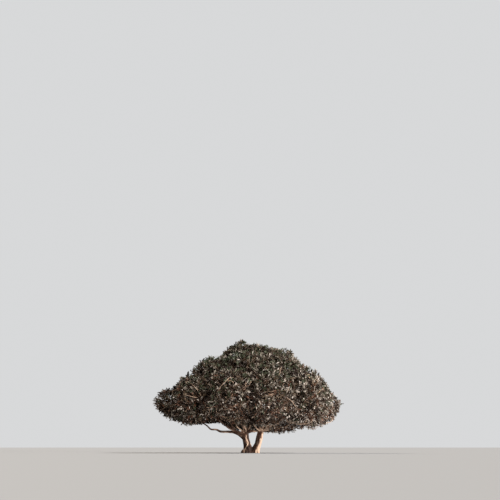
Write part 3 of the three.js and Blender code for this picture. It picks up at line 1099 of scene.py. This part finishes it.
    def relieve(self, mesh: Mesh) -> None:
        """Cuts furrows and burls into the skin, along each limb, and keeps their depth, and the peeled
        strips of bark with the painted light and shade.

        Args:
            mesh: The fused mesh, which is changed.
        """
        places, normals = (np.empty(len(mesh.vertices) * 3, np.float32) for _ in range(2))
        mesh.vertices.foreach_get("co", places)
        mesh.vertices.foreach_get("normal", normals)
        places, normals = (values.reshape(-1, 3).astype(float) for values in (places, normals))
        along, radius = self.along(places)
        fine = along / np.array([self.furrow_size, self.furrow_size, self.furrow_length])
        wander = self.wander * (self.noise(along / self.wander_size, 1) - 0.5)[:, None]
        folded = np.abs(2 * self.noise(fine + wander, 2) - 1) ** self.furrow_sharpness
        second = np.abs(2 * self.noise(fine * self.fine_furrows, 3) - 1)
        ridge = (1 - self.fine_share) * folded + self.fine_share * second
        ridge = np.clip(self.furrow_gain * ridge, 0, 1)
        burl = self.noise(places / self.burl_size, 4) - 0.5
        girth = np.clip(radius / self.full_girth, 0, 1)
        depth = self.furrow_depth * (ridge - self.furrow_level) + self.burl_depth * burl
        places += normals * (girth * depth)[:, None]
        mesh.vertices.foreach_set("co", places.astype(np.float32).ravel())
        lengthwise = along / np.array([self.strip_size, self.strip_size, self.strip_length])
        peeled = self.noise(lengthwise, 5) + self.young_bark * (1 - girth)
        # Painted light and painted shade are added to the peeled strips of bark.
        for name, kind, key, values in (
            ("furrow", "FLOAT", "value", ridge),
            ("strip", "FLOAT", "value", peeled + self.light_and_shade(places, normals)),
            ("grain", "FLOAT_VECTOR", "vector", (along * [1, 1, self.grain_stretch]).ravel()),
        ):
            mesh.attributes.new(name, kind, "POINT").data.foreach_set(key, values.astype(np.float32))

    def light_and_shade(self, places: Array, normals: Array) -> Array:
        """Tells where painted light and painted shade make the bark paler or darker than elsewhere.

        It has painted highlights on the right of the right stem, along a streak down the front of the
        left one and on the limbs over the forks, and painted shade on the left and between the feet of
        the stems.

        Args:
            places: Rows of points on the bark.
            normals: The way the bark looks at each.

        Returns:
            How much paler it is there, or darker where it is below zero.
        """
        x, z = places[:, 0], places[:, 2]
        # Painted highlight on right-facing bark on the right, and painted shade on its left-facing
        # sides.
        start, width = self.sunny_part
        sunny = np.clip((normals[:, 0] - start) / width, self.sunny_least, 1)
        shade = self.sunny_side * ramp(x, *self.right_part) * sunny
        # Painted shade on the left.
        shade -= self.left_shade * ramp(x, *self.left_part)
        # Painted light on the limbs over the forks.
        shade += self.lit_limb_gain * ramp(z, *self.lit_limb_part) * ramp(x, *self.lit_limb_side_part)
        # Painted shade between the feet of the stems.
        shade -= self.crotch_shade * bell(x, *self.crotch) * ramp(z, *self.crotch_part)
        # A painted highlight streak down the front of the left stem.
        across, up = np.array(self.streak)[::-1].T
        near = bell(x - np.interp(z, up, across), 0, self.streak_width)
        facing = (normals[:, 1] < 0) * ramp(z, *self.streak_part)
        return shade + self.streak_gain * near * facing

    def along(self, places: Array) -> tuple[Array, Array]:
        """Finds where points lie on the nearest limb: across it both ways, and along it.

        Args:
            places: Rows of points.

        Returns:
            Rows of the two places across and the one along, and the limb's radius there.
        """
        firsts, lengths = [], []
        for number, path in enumerate(self.skeleton.paths.values()):
            shares = path.shares(self.step)
            points, ways = path.points(shares), path.ways(shares)
            side = square_to(unit(points[-1] - points[0]))[0]
            firsts.append(unit(side - (ways @ side)[:, None] * ways))
            steps = np.linalg.norm(np.diff(points, axis=0), axis=1)
            lengths.append(np.concatenate([[0], np.cumsum(steps)]) + number * self.limb_shift)
        axis, radius = self.skeleton.samples(self.step)
        nearest, _ = nearest_ball(places, axis, radius)
        off = places - axis[nearest]
        way = unit(np.gradient(axis, axis=0))[nearest]
        side = np.vstack(firsts)[nearest]
        across = np.cross(way, side)
        first, second, further = ((off * part).sum(1) for part in (side, across, way))
        length = np.concatenate(lengths)[nearest] + further
        return np.column_stack([first, second, length]), radius[nearest]

    def cut_at_ground(self, mesh: Mesh) -> None:
        """Cuts the skin flat at ground level and closes the cut.

        Args:
            mesh: The mesh, which is changed.
        """
        edit = bmesh.new()
        edit.from_mesh(mesh)
        every = edit.verts[:] + edit.edges[:] + edit.faces[:]
        cut = bmesh.ops.bisect_plane(
            edit, geom=every, plane_co=Vector((0, 0, 0)), plane_no=Vector((0, 0, 1)), clear_inner=True
        )
        edges = [part for part in cut["geom_cut"] if isinstance(part, bmesh.types.BMEdge)]
        bmesh.ops.holes_fill(edit, edges=edges, sides=0)
        edit.to_mesh(mesh)
        edit.free()

    def build(self, finish: Material) -> None:
        """Builds the bark piece in place of the trunk and every bough.

        Args:
            finish: The bark's material.
        """
        mesh = self.fused()
        mesh.name = "bark"
        self.relieve(mesh)
        self.cut_at_ground(mesh)
        mesh.polygons.foreach_set("use_smooth", np.ones(len(mesh.polygons), bool))
        mesh.materials.clear()
        nodes = ["trunk"] + [f"bough_{name}" for name in self.skeleton.limbs]
        add_piece(mesh, [finish], nodes)


@dataclass(frozen=True)
class Fringe:
    """Extra shoots that hang over a line under the crown: its ends, its depth and its rise."""

    start: Pair
    end: Pair
    deep: Pair
    rise: float
    count: int

    def places(self, rng: Random) -> Array:
        """Strews places over the line.

        Args:
            rng: The seeded source.

        Returns:
            Rows of points.
        """
        share, deep, up = rng.random((3, self.count))
        x, z = (near + share * (far - near) for near, far in zip(self.start, self.end))
        y = self.deep[0] + deep * (self.deep[1] - self.deep[0])
        return np.column_stack([x, y, z + up * self.rise])


@dataclass(frozen=True)
class Growth:
    """How twigs of one kind grow: their radii, points and sides, their bend and their finish."""

    radii: Pair
    points: int
    sides: int
    hold: float = 0.0
    finish: int = 0

    def curves(self, start: Array, way: Array, end: Array) -> Array:
        """Lines from starts to ends that hold their first ways for a share of their length."""
        length = np.linalg.norm(end - start, axis=1, keepdims=True)
        return bends(start, start + way * length * self.hold, end, self.points)

    def add_to(self, shape: Shape, lines: Array) -> None:
        """Adds tubes that taper evenly along the lines."""
        radii = np.broadcast_to(np.linspace(*self.radii, self.points), lines.shape[:2])
        shape.add_tubes(lines, radii, self.sides, self.finish)


@dataclass(frozen=True)
class Whips:
    """The long bare twigs of a mass: their number, their growth, and how far out they arch."""

    count: int
    growth: Growth
    crest: float


@dataclass
class Foliage:
    """A mass of foliage: branches, twigs and shoots from its bough's tip, and leaves in whorls.

    Each pair that ends in _part is where a change begins and over how wide a way it comes in. Each
    layer is the share of shoots up to it, and from where to where in the mass its shoots end.
    """

    crown: Crown
    skeleton: Skeleton
    stem: Growth = Growth((0.029, 0.0174), 5, 6, 0.4)
    sunk: float = 0.02
    branches: int = 6
    branch: Growth = Growth((0.02, 0.013), 5, 5, 0.4)
    branch_share: float = 0.4
    onward: float = 0.5
    twigs: int = 46
    twig: Growth = Growth((0.015, 0.009), 6, 4, 0.45)
    twig_share: float = 0.74
    twig_spread: Pair = (0.85, 1.1)
    first_root: int = 2
    further_out: float = 10.0
    shoots_to_area: float = 56.0
    shoot: Growth = Growth((0.0075, 0.004), 3, 3, 0.5, finish=1)
    shoot_turn: float = 0.35
    layers: tuple = ((0.6, 0.93, 1.0), (0.88, 0.74, 0.93), (1.0, 0.5, 0.74))
    spread_turn: float = 0.5
    spread_rise: float = 0.2
    deep: float = 0.8
    deep_share: float = 0.25
    deep_growth: float = 0.5
    tuft: float = 0.05
    furthest: float = 0.12
    long_share: float = 0.1
    long_growth: Pair = (0.06, 0.17)
    short_by: float = 0.7
    nearest_tip: float = 0.2
    tip_short_by: float = 0.9
    fringes: tuple[Fringe, ...] = (
        Fringe((-0.8, 1.05), (0.42, 1.0), (0.0, 1.5), 0.36, 300),
        Fringe((-0.8, 1.05), (-1.45, 1.45), (0.0, 1.5), 0.26, 150),
        Fringe((-1.45, 1.42), (-2.3, 1.38), (-0.5, 1.2), 0.16, 110),
        Fringe((-4.2, 1.95), (-3.5, 1.62), (-0.6, 0.6), 0.15, 70),
        Fringe((1.0, 4.68), (1.6, 4.66), (-0.7, 0.7), 0.14, 50),
    )
    clumps: int = 90
    clump_depth: float = 0.07
    whips: Whips = Whips(12, Growth((0.01, 0.004), 14, 4), 0.96)
    low_whips: Whips = Whips(18, Growth((0.013, 0.005), 14, 4), 0.985)
    whip_root: int = 3
    whip_turn: float = 0.5
    whip_reach: float = 0.99
    whip_wave: float = 0.04
    whip_turns: tuple[float, ...] = (5.0,)
    whip_ends: tuple[int, ...] = (-4, -2, -1)
    under_limbs: int = 16
    under: Growth = Growth((0.022, 0.006), 20, 6)
    under_rise: float = 0.3
    under_away: float = -0.35
    under_reach: Pair = (0.86, 0.98)
    under_bulge: float = 0.3
    under_wave: float = 0.06
    under_turns: Pair = (4.2, 5.6)
    under_free: int = 6
    under_slack: float = 0.02
    under_inside: float = 0.8
    under_ends: tuple[int, ...] = (-5, -3, -1)
    leaves: int = 10
    leaf_length: float = 0.126
    leaf_width: float = 0.044
    leaf_sizes: Pair = (0.7, 1.15)
    leaf_tilt: Pair = (1.25, 0.25)
    leaf_slip: float = 0.02
    tilt_spread: float = 0.16
    roll_spread: float = 0.5
    leaf_outline: tuple = (
        (0.0, 0.0, 0.0), (0.3, 0.43, 0.16), (0.66, 0.46, 0.13), (1.0, 0.0, -0.12),
        (0.66, -0.46, 0.13), (0.3, -0.43, 0.16), (0.5, 0.0, 0.0),
    )
    leafy: float = 0.42
    last_leaves: int = 3
    bare_share: float = 0.2
    twiggy_share: float = 0.7
    twiggy_place: float = 0.2
    low_part: Pair = (2.25, -0.5)
    closed_part: Pair = (1.3, 0.2)
    side_part: Pair = (2.1, -0.6)
    opened: float = 0.35
    # Where the tints lay painted light on the right and painted shade inside, and how many single leaves
    # are pale as painted glints.
    right_part: Pair = (-4.0, 8.0)
    high_part: Pair = (1.2, 3.6)
    deep_part: Pair = (0.2, 0.4)
    pale_share: float = 0.075
    pale_across: float = 4.0
    pale_height: float = 3.0
    pale_limits: Pair = (0.3, 1.5)
    limb_step: float = 0.05
    room: float = 0.045
    leaf_room: float = 0.02
    beyond: float = 0.15
    shared: float = 0.12
    stray_mass: str = "skirt_6"
    stray_tip: tuple[float, float, float] = (4.2, 0.1, 2.25)
    seed: int = 500

    def __post_init__(self) -> None:
        """Keeps points along the limbs, which leaves stay clear of."""
        self.limb_points, self.limb_radii = self.skeleton.samples(self.limb_step)

    def spread(self, count: int, rng: Random) -> Array:
        """Spreads directions evenly over a sphere, each moved a little.

        Args:
            count: How many.
            rng: The seeded source of moves.

        Returns:
            Rows of unit directions.
        """
        i = np.arange(count)
        height = 1 - (2 * i + 1) / count
        angle = GOLDEN_ANGLE * i + rng.random(count) * self.spread_turn
        flat = np.sqrt(1 - height * height)
        moved = height + (rng.random(count) - 0.5) * self.spread_rise
        return unit(np.column_stack([flat * np.cos(angle), flat * np.sin(angle), moved]))

    def depth(self, points: Array) -> Array:
        """Measures about how deep points lie inside the crown."""
        out, top, low, reach, _ = self.crown.outline(points[:, 0], points[:, 1])
        return np.minimum.reduce([(1 - out) * reach, top - points[:, 2], points[:, 2] - low])

    def clear(self, points: Array, room: float) -> Array:
        """Tells which points have so much room between them and every limb."""
        return nearest_ball(points, self.limb_points, self.limb_radii)[1] > room

    def lowness(self, points: Array) -> Array:
        """Tells from 0 to 1 how far points belong to the open part, low down over the stems."""
        side = ramp(np.abs(points[:, 0] - self.twiggy_place), *self.side_part)
        return ramp(points[:, 2], *self.low_part) * ramp(points[:, 2], *self.closed_part) * side

    def shoot_tips(self, mass: Mass, count: int, rng: Random) -> Array:
        """Places the tips of a mass's shoots, most of them near the edge of its space.

        Args:
            mass: The mass.
            count: How many shoots to start from.
            rng: The seeded source.

        Returns:
            Rows of points.
        """
        ways = self.spread(count, rng)
        reach = self.crown.reach_of(mass, ways)
        kind = rng.random(count)
        shares = [rng.uniform(near, far, count) for _, near, far in self.layers]
        share = np.select([kind < most for most, _, _ in self.layers], shares)
        tuft = np.clip(rng.normal(0, self.tuft, count), -self.furthest, self.furthest)
        long = rng.random(count) < self.long_share
        tuft += np.where(long, rng.uniform(*self.long_growth, count), 0)
        clump = (ways @ self.spread(self.clumps, rng).T).argmax(axis=1)
        tuft += rng.uniform(-self.clump_depth, self.clump_depth, self.clumps)[clump]
        far = np.maximum(reach * share + tuft - self.short_by * self.leaf_length, self.nearest_tip)
        tips = mass.heart + ways * far[:, None]
        kept = (self.depth(tips) < self.deep) | (rng.random(count) < self.deep_share)
        kept &= rng.random(count) > self.opened * self.lowness(tips)
        hanging = np.vstack([fringe.places(rng) for fringe in self.fringes])
        tips = np.vstack([tips[kept], hanging[self.crown.holds(mass, hanging, self.beyond)]])
        tips = tips[self.clear(tips, self.room)]
        towards = unit(self.crown.tip_of(mass) - mass.heart)
        far = self.crown.reach_of(mass, towards[None])[0] - self.tip_short_by * self.leaf_length
        stray = [np.array(self.stray_tip)] if mass.name == self.stray_mass else []
        return np.vstack([tips, mass.heart + towards * far, *stray])

    def wood(self, mass: Mass, rng: Random) -> tuple[Shape, Array]:
        """Grows a mass's stem, branches, twigs and shoots.

        Args:
            mass: The mass.
            rng: The seeded source.

        Returns:
            The twigs' shape, and the line of each shoot.
        """
        shape = Shape()
        heart = mass.heart[None]
        gate = mass.gate[None] - mass.gate_way * self.sunk
        stem = self.stem.curves(gate, mass.gate_way[None], heart)
        self.stem.add_to(shape, stem)
        ways = self.spread(self.branches, rng)
        ends = heart + ways * (self.branch_share * self.crown.reach_of(mass, ways))[:, None]
        leaving = unit(ways + self.onward * unit(mass.heart - stem[0, -2]))
        limbs = self.branch.curves(np.repeat(heart, len(ways), axis=0), leaving, ends)
        self.branch.add_to(shape, limbs)
        ways = self.spread(self.twigs, rng)
        reach = self.crown.reach_of(mass, ways)
        far = reach * self.twig_share * rng.uniform(*self.twig_spread, len(ways))
        ends = heart + ways * far[:, None]
        twigs = self.twig.curves(*self.roots_on(limbs, ends, mass.heart), ends)
        self.twig.add_to(shape, twigs)
        area = 4 * math.pi * np.mean(reach**2)
        tips = self.shoot_tips(mass, int(self.shoots_to_area * area), rng)
        roots, root_ways = self.roots_on(twigs, tips, mass.heart)
        bent = unit(root_ways + rng.normal(0, self.shoot_turn, root_ways.shape))
        shoots = self.shoot.curves(roots, bent, tips)
        self.shoot.add_to(shape, shoots)
        kind = self.low_whips if mass.low else self.whips
        whips = self.whip_lines(mass, kind, twigs, rng)
        kind.growth.add_to(shape, whips)
        ends = [whips[:, self.whip_ends]]
        if mass.low:
            under = self.under_lines(mass, rng)
            self.under.add_to(shape, under)
            ends.append(under[:, self.under_ends])
        return shape, np.vstack([*ends, shoots])

    def under_lines(self, mass: Mass, rng: Random) -> Array:
        """Fans crooked limbs out under a mass from its bough's tip.

        Args:
            mass: The mass.
            rng: The seeded source.

        Returns:
            For each limb, its points.
        """
        ways = self.spread(4 * self.under_limbs, rng)
        away = unit(mass.heart - mass.gate)
        low = (ways[:, 2] < self.under_rise) & (ways @ away > self.under_away)
        ways = ways[low][:self.under_limbs]
        reach = self.crown.reach_of(mass, ways) * rng.uniform(*self.under_reach, len(ways))
        tips = ways * reach[:, None]
        start = np.broadcast_to(mass.gate - mass.heart, tips.shape)
        length = np.linalg.norm(tips - start, axis=1)[:, None]
        middle = 0.5 * (start + tips)
        handles = middle + self.under_bulge * length * unit(middle)
        lines = bends(start, handles, tips, self.under.points)
        lines = mass.heart + wavy(lines, self.under_wave, self.under_turns, rng)
        free = lines[:, self.under_free:].reshape(-1, 3)
        held = self.crown.holds(mass, free, self.under_slack).reshape(len(lines), -1)
        (height, _), (width, _) = self.low_part, self.side_part
        low = (lines[:, -1, 2] < height) & (np.abs(lines[:, -1, 0]) < width)
        return lines[(held.mean(axis=1) > self.under_inside) & low]

    def whip_lines(self, mass: Mass, kind: Whips, twigs: Array, rng: Random) -> Array:
        """Lays a few long bare twigs that arch out and along the edge of the foliage.

        Args:
            mass: The mass.
            kind: Their kind.
            twigs: The lines of its twigs.
            rng: The seeded source.

        Returns:
            For each long twig, its points.
        """
        roots = twigs[rng.choice(len(twigs), kind.count, replace=False), self.whip_root]
        outward = unit(roots - mass.heart)
        turned = unit(outward + rng.normal(0, self.whip_turn, outward.shape))
        tips, crests = (
            mass.heart + ways * (self.crown.reach_of(mass, ways) * share)[:, None]
            for ways, share in ((turned, self.whip_reach), (unit(outward + turned), kind.crest))
        )
        lines = bends(roots, 2 * crests - 0.5 * (roots + tips), tips, kind.growth.points)
        return wavy(lines, self.whip_wave, self.whip_turns, rng)

    def roots_on(self, parents: Array, tips: Array, heart: Array) -> tuple[Array, Array]:
        """Finds where each new twig leaves an older one: the nearest place that lies further in.

        Args:
            parents: The lines of the older twigs.
            tips: The tips of the new ones.
            heart: The heart of the mass.

        Returns:
            The points, and the directions that the older twigs run in there.
        """
        ways = unit(np.gradient(parents, axis=1))[:, self.first_root:].reshape(-1, 3)
        points = parents[:, self.first_root:].reshape(-1, 3)
        apart = np.linalg.norm(tips[:, None] - points[None], axis=2)
        out, tips_out = (np.linalg.norm(ends - heart, axis=1) for ends in (points, tips))
        nearest = (apart + self.further_out * (out[None] > tips_out[:, None])).argmin(axis=1)
        return points[nearest], ways[nearest]

    def whorls(self, shoots: Array, rng: Random) -> tuple[Array, ...]:
        """Sets the leaves round the outer part of each shoot.

        Args:
            shoots: The shoots' lines.
            rng: The seeded source.

        Returns:
            For each leaf its root, its direction, the way its face looks, its length, and the number
            of its shoot.
        """
        size = (len(shoots), self.leaves)
        order = np.arange(self.leaves) / (self.leaves - 1)
        slip = rng.uniform(-self.leaf_slip, self.leaf_slip, size)
        share = np.clip(1 - self.leafy * (1 - order)[None] + slip, 0, 1)
        place = share * (shoots.shape[1] - 1)
        index = np.minimum(place.astype(int), shoots.shape[1] - 2)
        part = (place - index)[..., None]
        rows = np.arange(len(shoots))[:, None]
        low, high = shoots[rows, index], shoots[rows, index + 1]
        root = low * (1 - part) + high * part
        way = unit(high - low)
        first, second = square_to(way)
        turn = GOLDEN_ANGLE * np.arange(self.leaves) + rng.uniform(0, 2 * math.pi, (len(shoots), 1))
        out = first * np.cos(turn)[..., None] + second * np.sin(turn)[..., None]
        tilt = self.leaf_tilt[0] + (self.leaf_tilt[1] - self.leaf_tilt[0]) * order[None]
        tilt = (tilt + rng.normal(0, self.tilt_spread, size))[..., None]
        blade = way * np.cos(tilt) + out * np.sin(tilt)
        face = way * np.sin(tilt) - out * np.cos(tilt)
        roll = rng.normal(0, self.roll_spread, size)[..., None]
        face = face * np.cos(roll) + np.cross(blade, face) * np.sin(roll)
        inner = np.clip(self.depth(shoots[:, -1]) / self.deep, 0, 1)[:, None]
        length = self.leaf_length * rng.uniform(*self.leaf_sizes, size) * (1 + self.deep_growth * inner)
        flat = [part.reshape(-1, 3) for part in (root, blade, face)]
        return *flat, length.ravel(), np.broadcast_to(rows, size).ravel()

    def leaf_shape(self, root: Array, blade: Array, face: Array, length: Array, tints: Array) -> Shape:
        """Makes the leaves: folded blades of six faces each.

        Args:
            root: Rows of roots.
            blade: Rows of directions.
            face: Rows of the ways that the faces look.
            length: The length of each.
            tints: The tint number of each.

        Returns:
            The leaves' shape.
        """
        along, across, raised = np.array(self.leaf_outline).T[:, None, :, None]
        long = length[:, None, None]
        wide = long * self.leaf_width / self.leaf_length
        side = np.cross(face, blade)
        corners = root[:, None] + (
            blade[:, None] * (along * long)
            + side[:, None] * (across * wide)
            + face[:, None] * (raised * wide)
        )
        rim = np.arange(len(self.leaf_outline) - 1)
        fan = np.column_stack([np.full(len(rim), len(rim)), np.roll(rim, -1), rim])
        faces = fan[None] + (np.arange(len(root)) * len(self.leaf_outline))[:, None, None]
        shape = Shape()
        shape.add(corners.reshape(-1, 3), faces.reshape(-1, 3), np.repeat(tints, len(rim)))
        return shape

    def tints(self, tips: Array, rng: Random) -> Array:
        """Deals out a tint to each spray: darker inside and low down as painted shade, greener up, and
        paler right as painted light.

        Args:
            tips: Rows of the sprays' tips.
            rng: The seeded source.

        Returns:
            The tint number of each spray.
        """
        right = ramp(tips[:, 0], *self.right_part)
        high = ramp(tips[:, 2], *self.high_part)
        deep = ramp(self.depth(tips), *self.deep_part)
        # Painted shade: the shaded tint is dealt more deep inside, low down and to the left. Painted
        # light: the grey and pale tints more to the right.
        chances = {
            Tint.SHADED: 0.66 - 0.2 * right - 0.1 * high + 0.5 * deep + 0.35 * self.lowness(tips),
            Tint.OLIVE: 0.04 + 0.5 * high,
            Tint.RUSSET: 0.26 * (1 - high) ** 2,
            Tint.DUSTY: 0.16 + 0.08 * high,
            Tint.GREY: 0.08 + 0.14 * right + 0.08 * high,
            Tint.PALE: (0.03 + 0.05 * right) * (1 - 0.7 * high),
        }
        chances = np.column_stack([chances[tint] for tint in Tint])
        steps = np.cumsum(chances / chances.sum(axis=1, keepdims=True), axis=1)
        drawn = (rng.random(len(tips))[:, None] > steps).sum(axis=1)
        return np.minimum(drawn, len(Tint) - 1)

    def build(self, mass: Mass, leaf_finishes: list[Material], twig_finishes: list[Material]) -> None:
        """Builds the twigs and the leaves of a mass in place of its solid.

        Args:
            mass: The mass.
            leaf_finishes: The leaves' materials, one for each tint.
            twig_finishes: The materials of the twigs and of the shoots.
        """
        rng = np.random.default_rng(self.seed + mass.number)
        twigs, shoots = self.wood(mass, rng)
        root, blade, face, length, owner = self.whorls(shoots, rng)
        tips = root + blade * length[:, None]
        kept = self.crown.holds(mass, tips, self.beyond, self.shared)
        if mass.name == self.stray_mass:
            kept[-self.last_leaves:] = True
        kept &= self.clear(root + blade * 0.5 * length[:, None], self.leaf_room)
        bareness = self.bare_share + (self.twiggy_share - self.bare_share) * self.lowness(shoots[:, -1])
        bare = (rng.random(len(shoots)) < bareness)[owner]
        kept &= ~bare | (np.arange(len(owner)) % self.leaves >= self.leaves - self.last_leaves)
        tints = self.tints(shoots[:, -1], rng)[owner]
        # Single pale leaves as painted glints, more of them to the right and fewer up high.
        paler = self.pale_share * np.clip(1 + tips[:, 0] / self.pale_across, *self.pale_limits)
        paler *= np.clip(2 - tips[:, 2] / self.pale_height, *self.pale_limits)
        tints[rng.random(len(tints)) < paler] = len(Tint) - 1
        leaves = self.leaf_shape(*(values[kept] for values in (root, blade, face, length, tints)))
        nodes = [f"foliage_{mass.name}"]
        add_piece(twigs.mesh(f"twigs_{mass.name}", True), twig_finishes, nodes)
        add_piece(leaves.mesh(f"leaves_{mass.name}", False), leaf_finishes, nodes)


@dataclass(frozen=True)
class Lamp:
    """A soft lamp far away: where it stands, how strong and how wide it is."""

    name: str
    strength: float
    wide: float
    azimuth: float
    height: float
    colour: tuple[float, float, float]

    def hang(self) -> None:
        """Hangs the lamp so that it shines on the tree."""
        lamp = bpy.data.lights.new(self.name, "SUN")
        lamp.energy = self.strength
        lamp.angle = math.radians(self.wide)
        lamp.color = self.colour
        azimuth, height = math.radians(self.azimuth), math.radians(self.height)
        flat = math.cos(height)
        place = Vector((math.sin(azimuth) * flat, -math.cos(azimuth) * flat, math.sin(height)))
        hung = put_in_scene(self.name, lamp)
        hung.rotation_mode = "QUATERNION"
        hung.rotation_quaternion = place.to_track_quat("Z", "Y")


LAMPS = (
    Lamp("key", 3.4, 5.0, 64.0, 40.0, (1.0, 0.97, 0.93)),
    Lamp("low side", 2.7, 4.0, 82.0, 4.0, (1.0, 0.95, 0.9)),
    Lamp("low front", 1.4, 3.0, 26.0, 4.0, (1.0, 0.94, 0.88)),
    Lamp("back", 1.5, 12.0, 218.0, 30.0, (1.0, 0.9, 0.76)),
)


@dataclass
class Studio:
    """The floor, the light and the camera at the photograph's viewing angle."""

    camera_height: float = 0.3
    distance: float = 65.9
    sight: float = 1000.0
    focal: float = 1418.0
    frame_side: float = 500.0
    sensor: float = 36.0
    base_row: float = 453.0
    trunk_column: float = 251.0
    floor_radius: float = 320.0
    floor_sides: int = 96
    floor_finish: PlainFinish = PlainFinish("pale floor", (182, 184, 188), 0.9)
    sky_colour: Colour = (226, 227, 228)
    sky_strength: float = 0.9
    fill_colour: Colour = (238, 222, 200)
    fill: float = 0.14

    def floor(self) -> None:
        """Lays the pale floor."""
        disc = bmesh.new()
        bmesh.ops.create_circle(
            disc, cap_ends=True, radius=self.floor_radius, segments=self.floor_sides
        )
        mesh = bpy.data.meshes.new("floor")
        disc.to_mesh(mesh)
        disc.free()
        mesh.materials.append(self.floor_finish.material())
        floor = put_in_scene("floor", mesh)

    def light(self) -> None:
        """Sets a pale backdrop with a weaker warm fill, and hangs the lamps."""
        world = bpy.data.worlds.new("pale sky")
        world.use_nodes = True
        nodes, link = world.node_tree.nodes, world.node_tree.links.new
        fill, sky = nodes["Background"], nodes.new("ShaderNodeBackground")
        for shade, colour, strength in (
            (fill, self.fill_colour, self.fill), (sky, self.sky_colour, self.sky_strength),
        ):
            shade.inputs["Color"].default_value = linear(*colour)
            shade.inputs["Strength"].default_value = strength
        rays = nodes.new("ShaderNodeLightPath")
        either = nodes.new("ShaderNodeMixShader")
        link(rays.outputs["Is Camera Ray"], either.inputs["Fac"])
        link(fill.outputs["Background"], either.inputs[1])
        link(sky.outputs["Background"], either.inputs[2])
        link(either.outputs["Shader"], nodes["World Output"].inputs["Surface"])
        bpy.context.scene.world = world
        for lamp in LAMPS:
            lamp.hang()

    def camera(self) -> None:
        """Places the camera so that the tree stands in the frame where the photograph has it."""
        lens = bpy.data.cameras.new("camera")
        lens.sensor_width = self.sensor
        lens.lens = self.sensor * self.focal / self.frame_side
        lens.clip_end = self.sight
        camera = put_in_scene("camera", lens)
        half = self.frame_side / 2
        pitch = math.atan((self.base_row - half) / self.focal)
        pitch -= math.atan(self.camera_height / self.distance)
        turn = math.atan((self.trunk_column - half) / self.focal)
        camera.location = (0.0, -self.distance, self.camera_height)
        camera.rotation_euler = (math.pi / 2 + pitch, 0.0, turn)
        bpy.context.scene.camera = camera

    def build(self) -> None:
        """Sets up the whole studio."""
        self.floor()
        self.light()
        self.camera()
        bpy.context.scene.view_settings.view_transform = "Standard"


def main() -> None:
    """Builds the studio, the bark and the foliage in order."""
    logging.basicConfig(level=logging.INFO, format="%(message)s")
    Studio().build()
    crown = Crown()
    skeleton = Skeleton(crown)
    Bark(skeleton).build(BarkFinish().material(BarkPattern()))
    leaf_finishes = [tint.value.material() for tint in Tint]
    high, low, shoot = (finish.material() for finish in (HIGH_TWIG, LOW_TWIG, SHOOT))
    foliage = Foliage(crown, skeleton)
    for mass in crown.masses:
        foliage.build(mass, leaf_finishes, [low if mass.low else high, shoot])


if __name__ == "__main__":
    main()
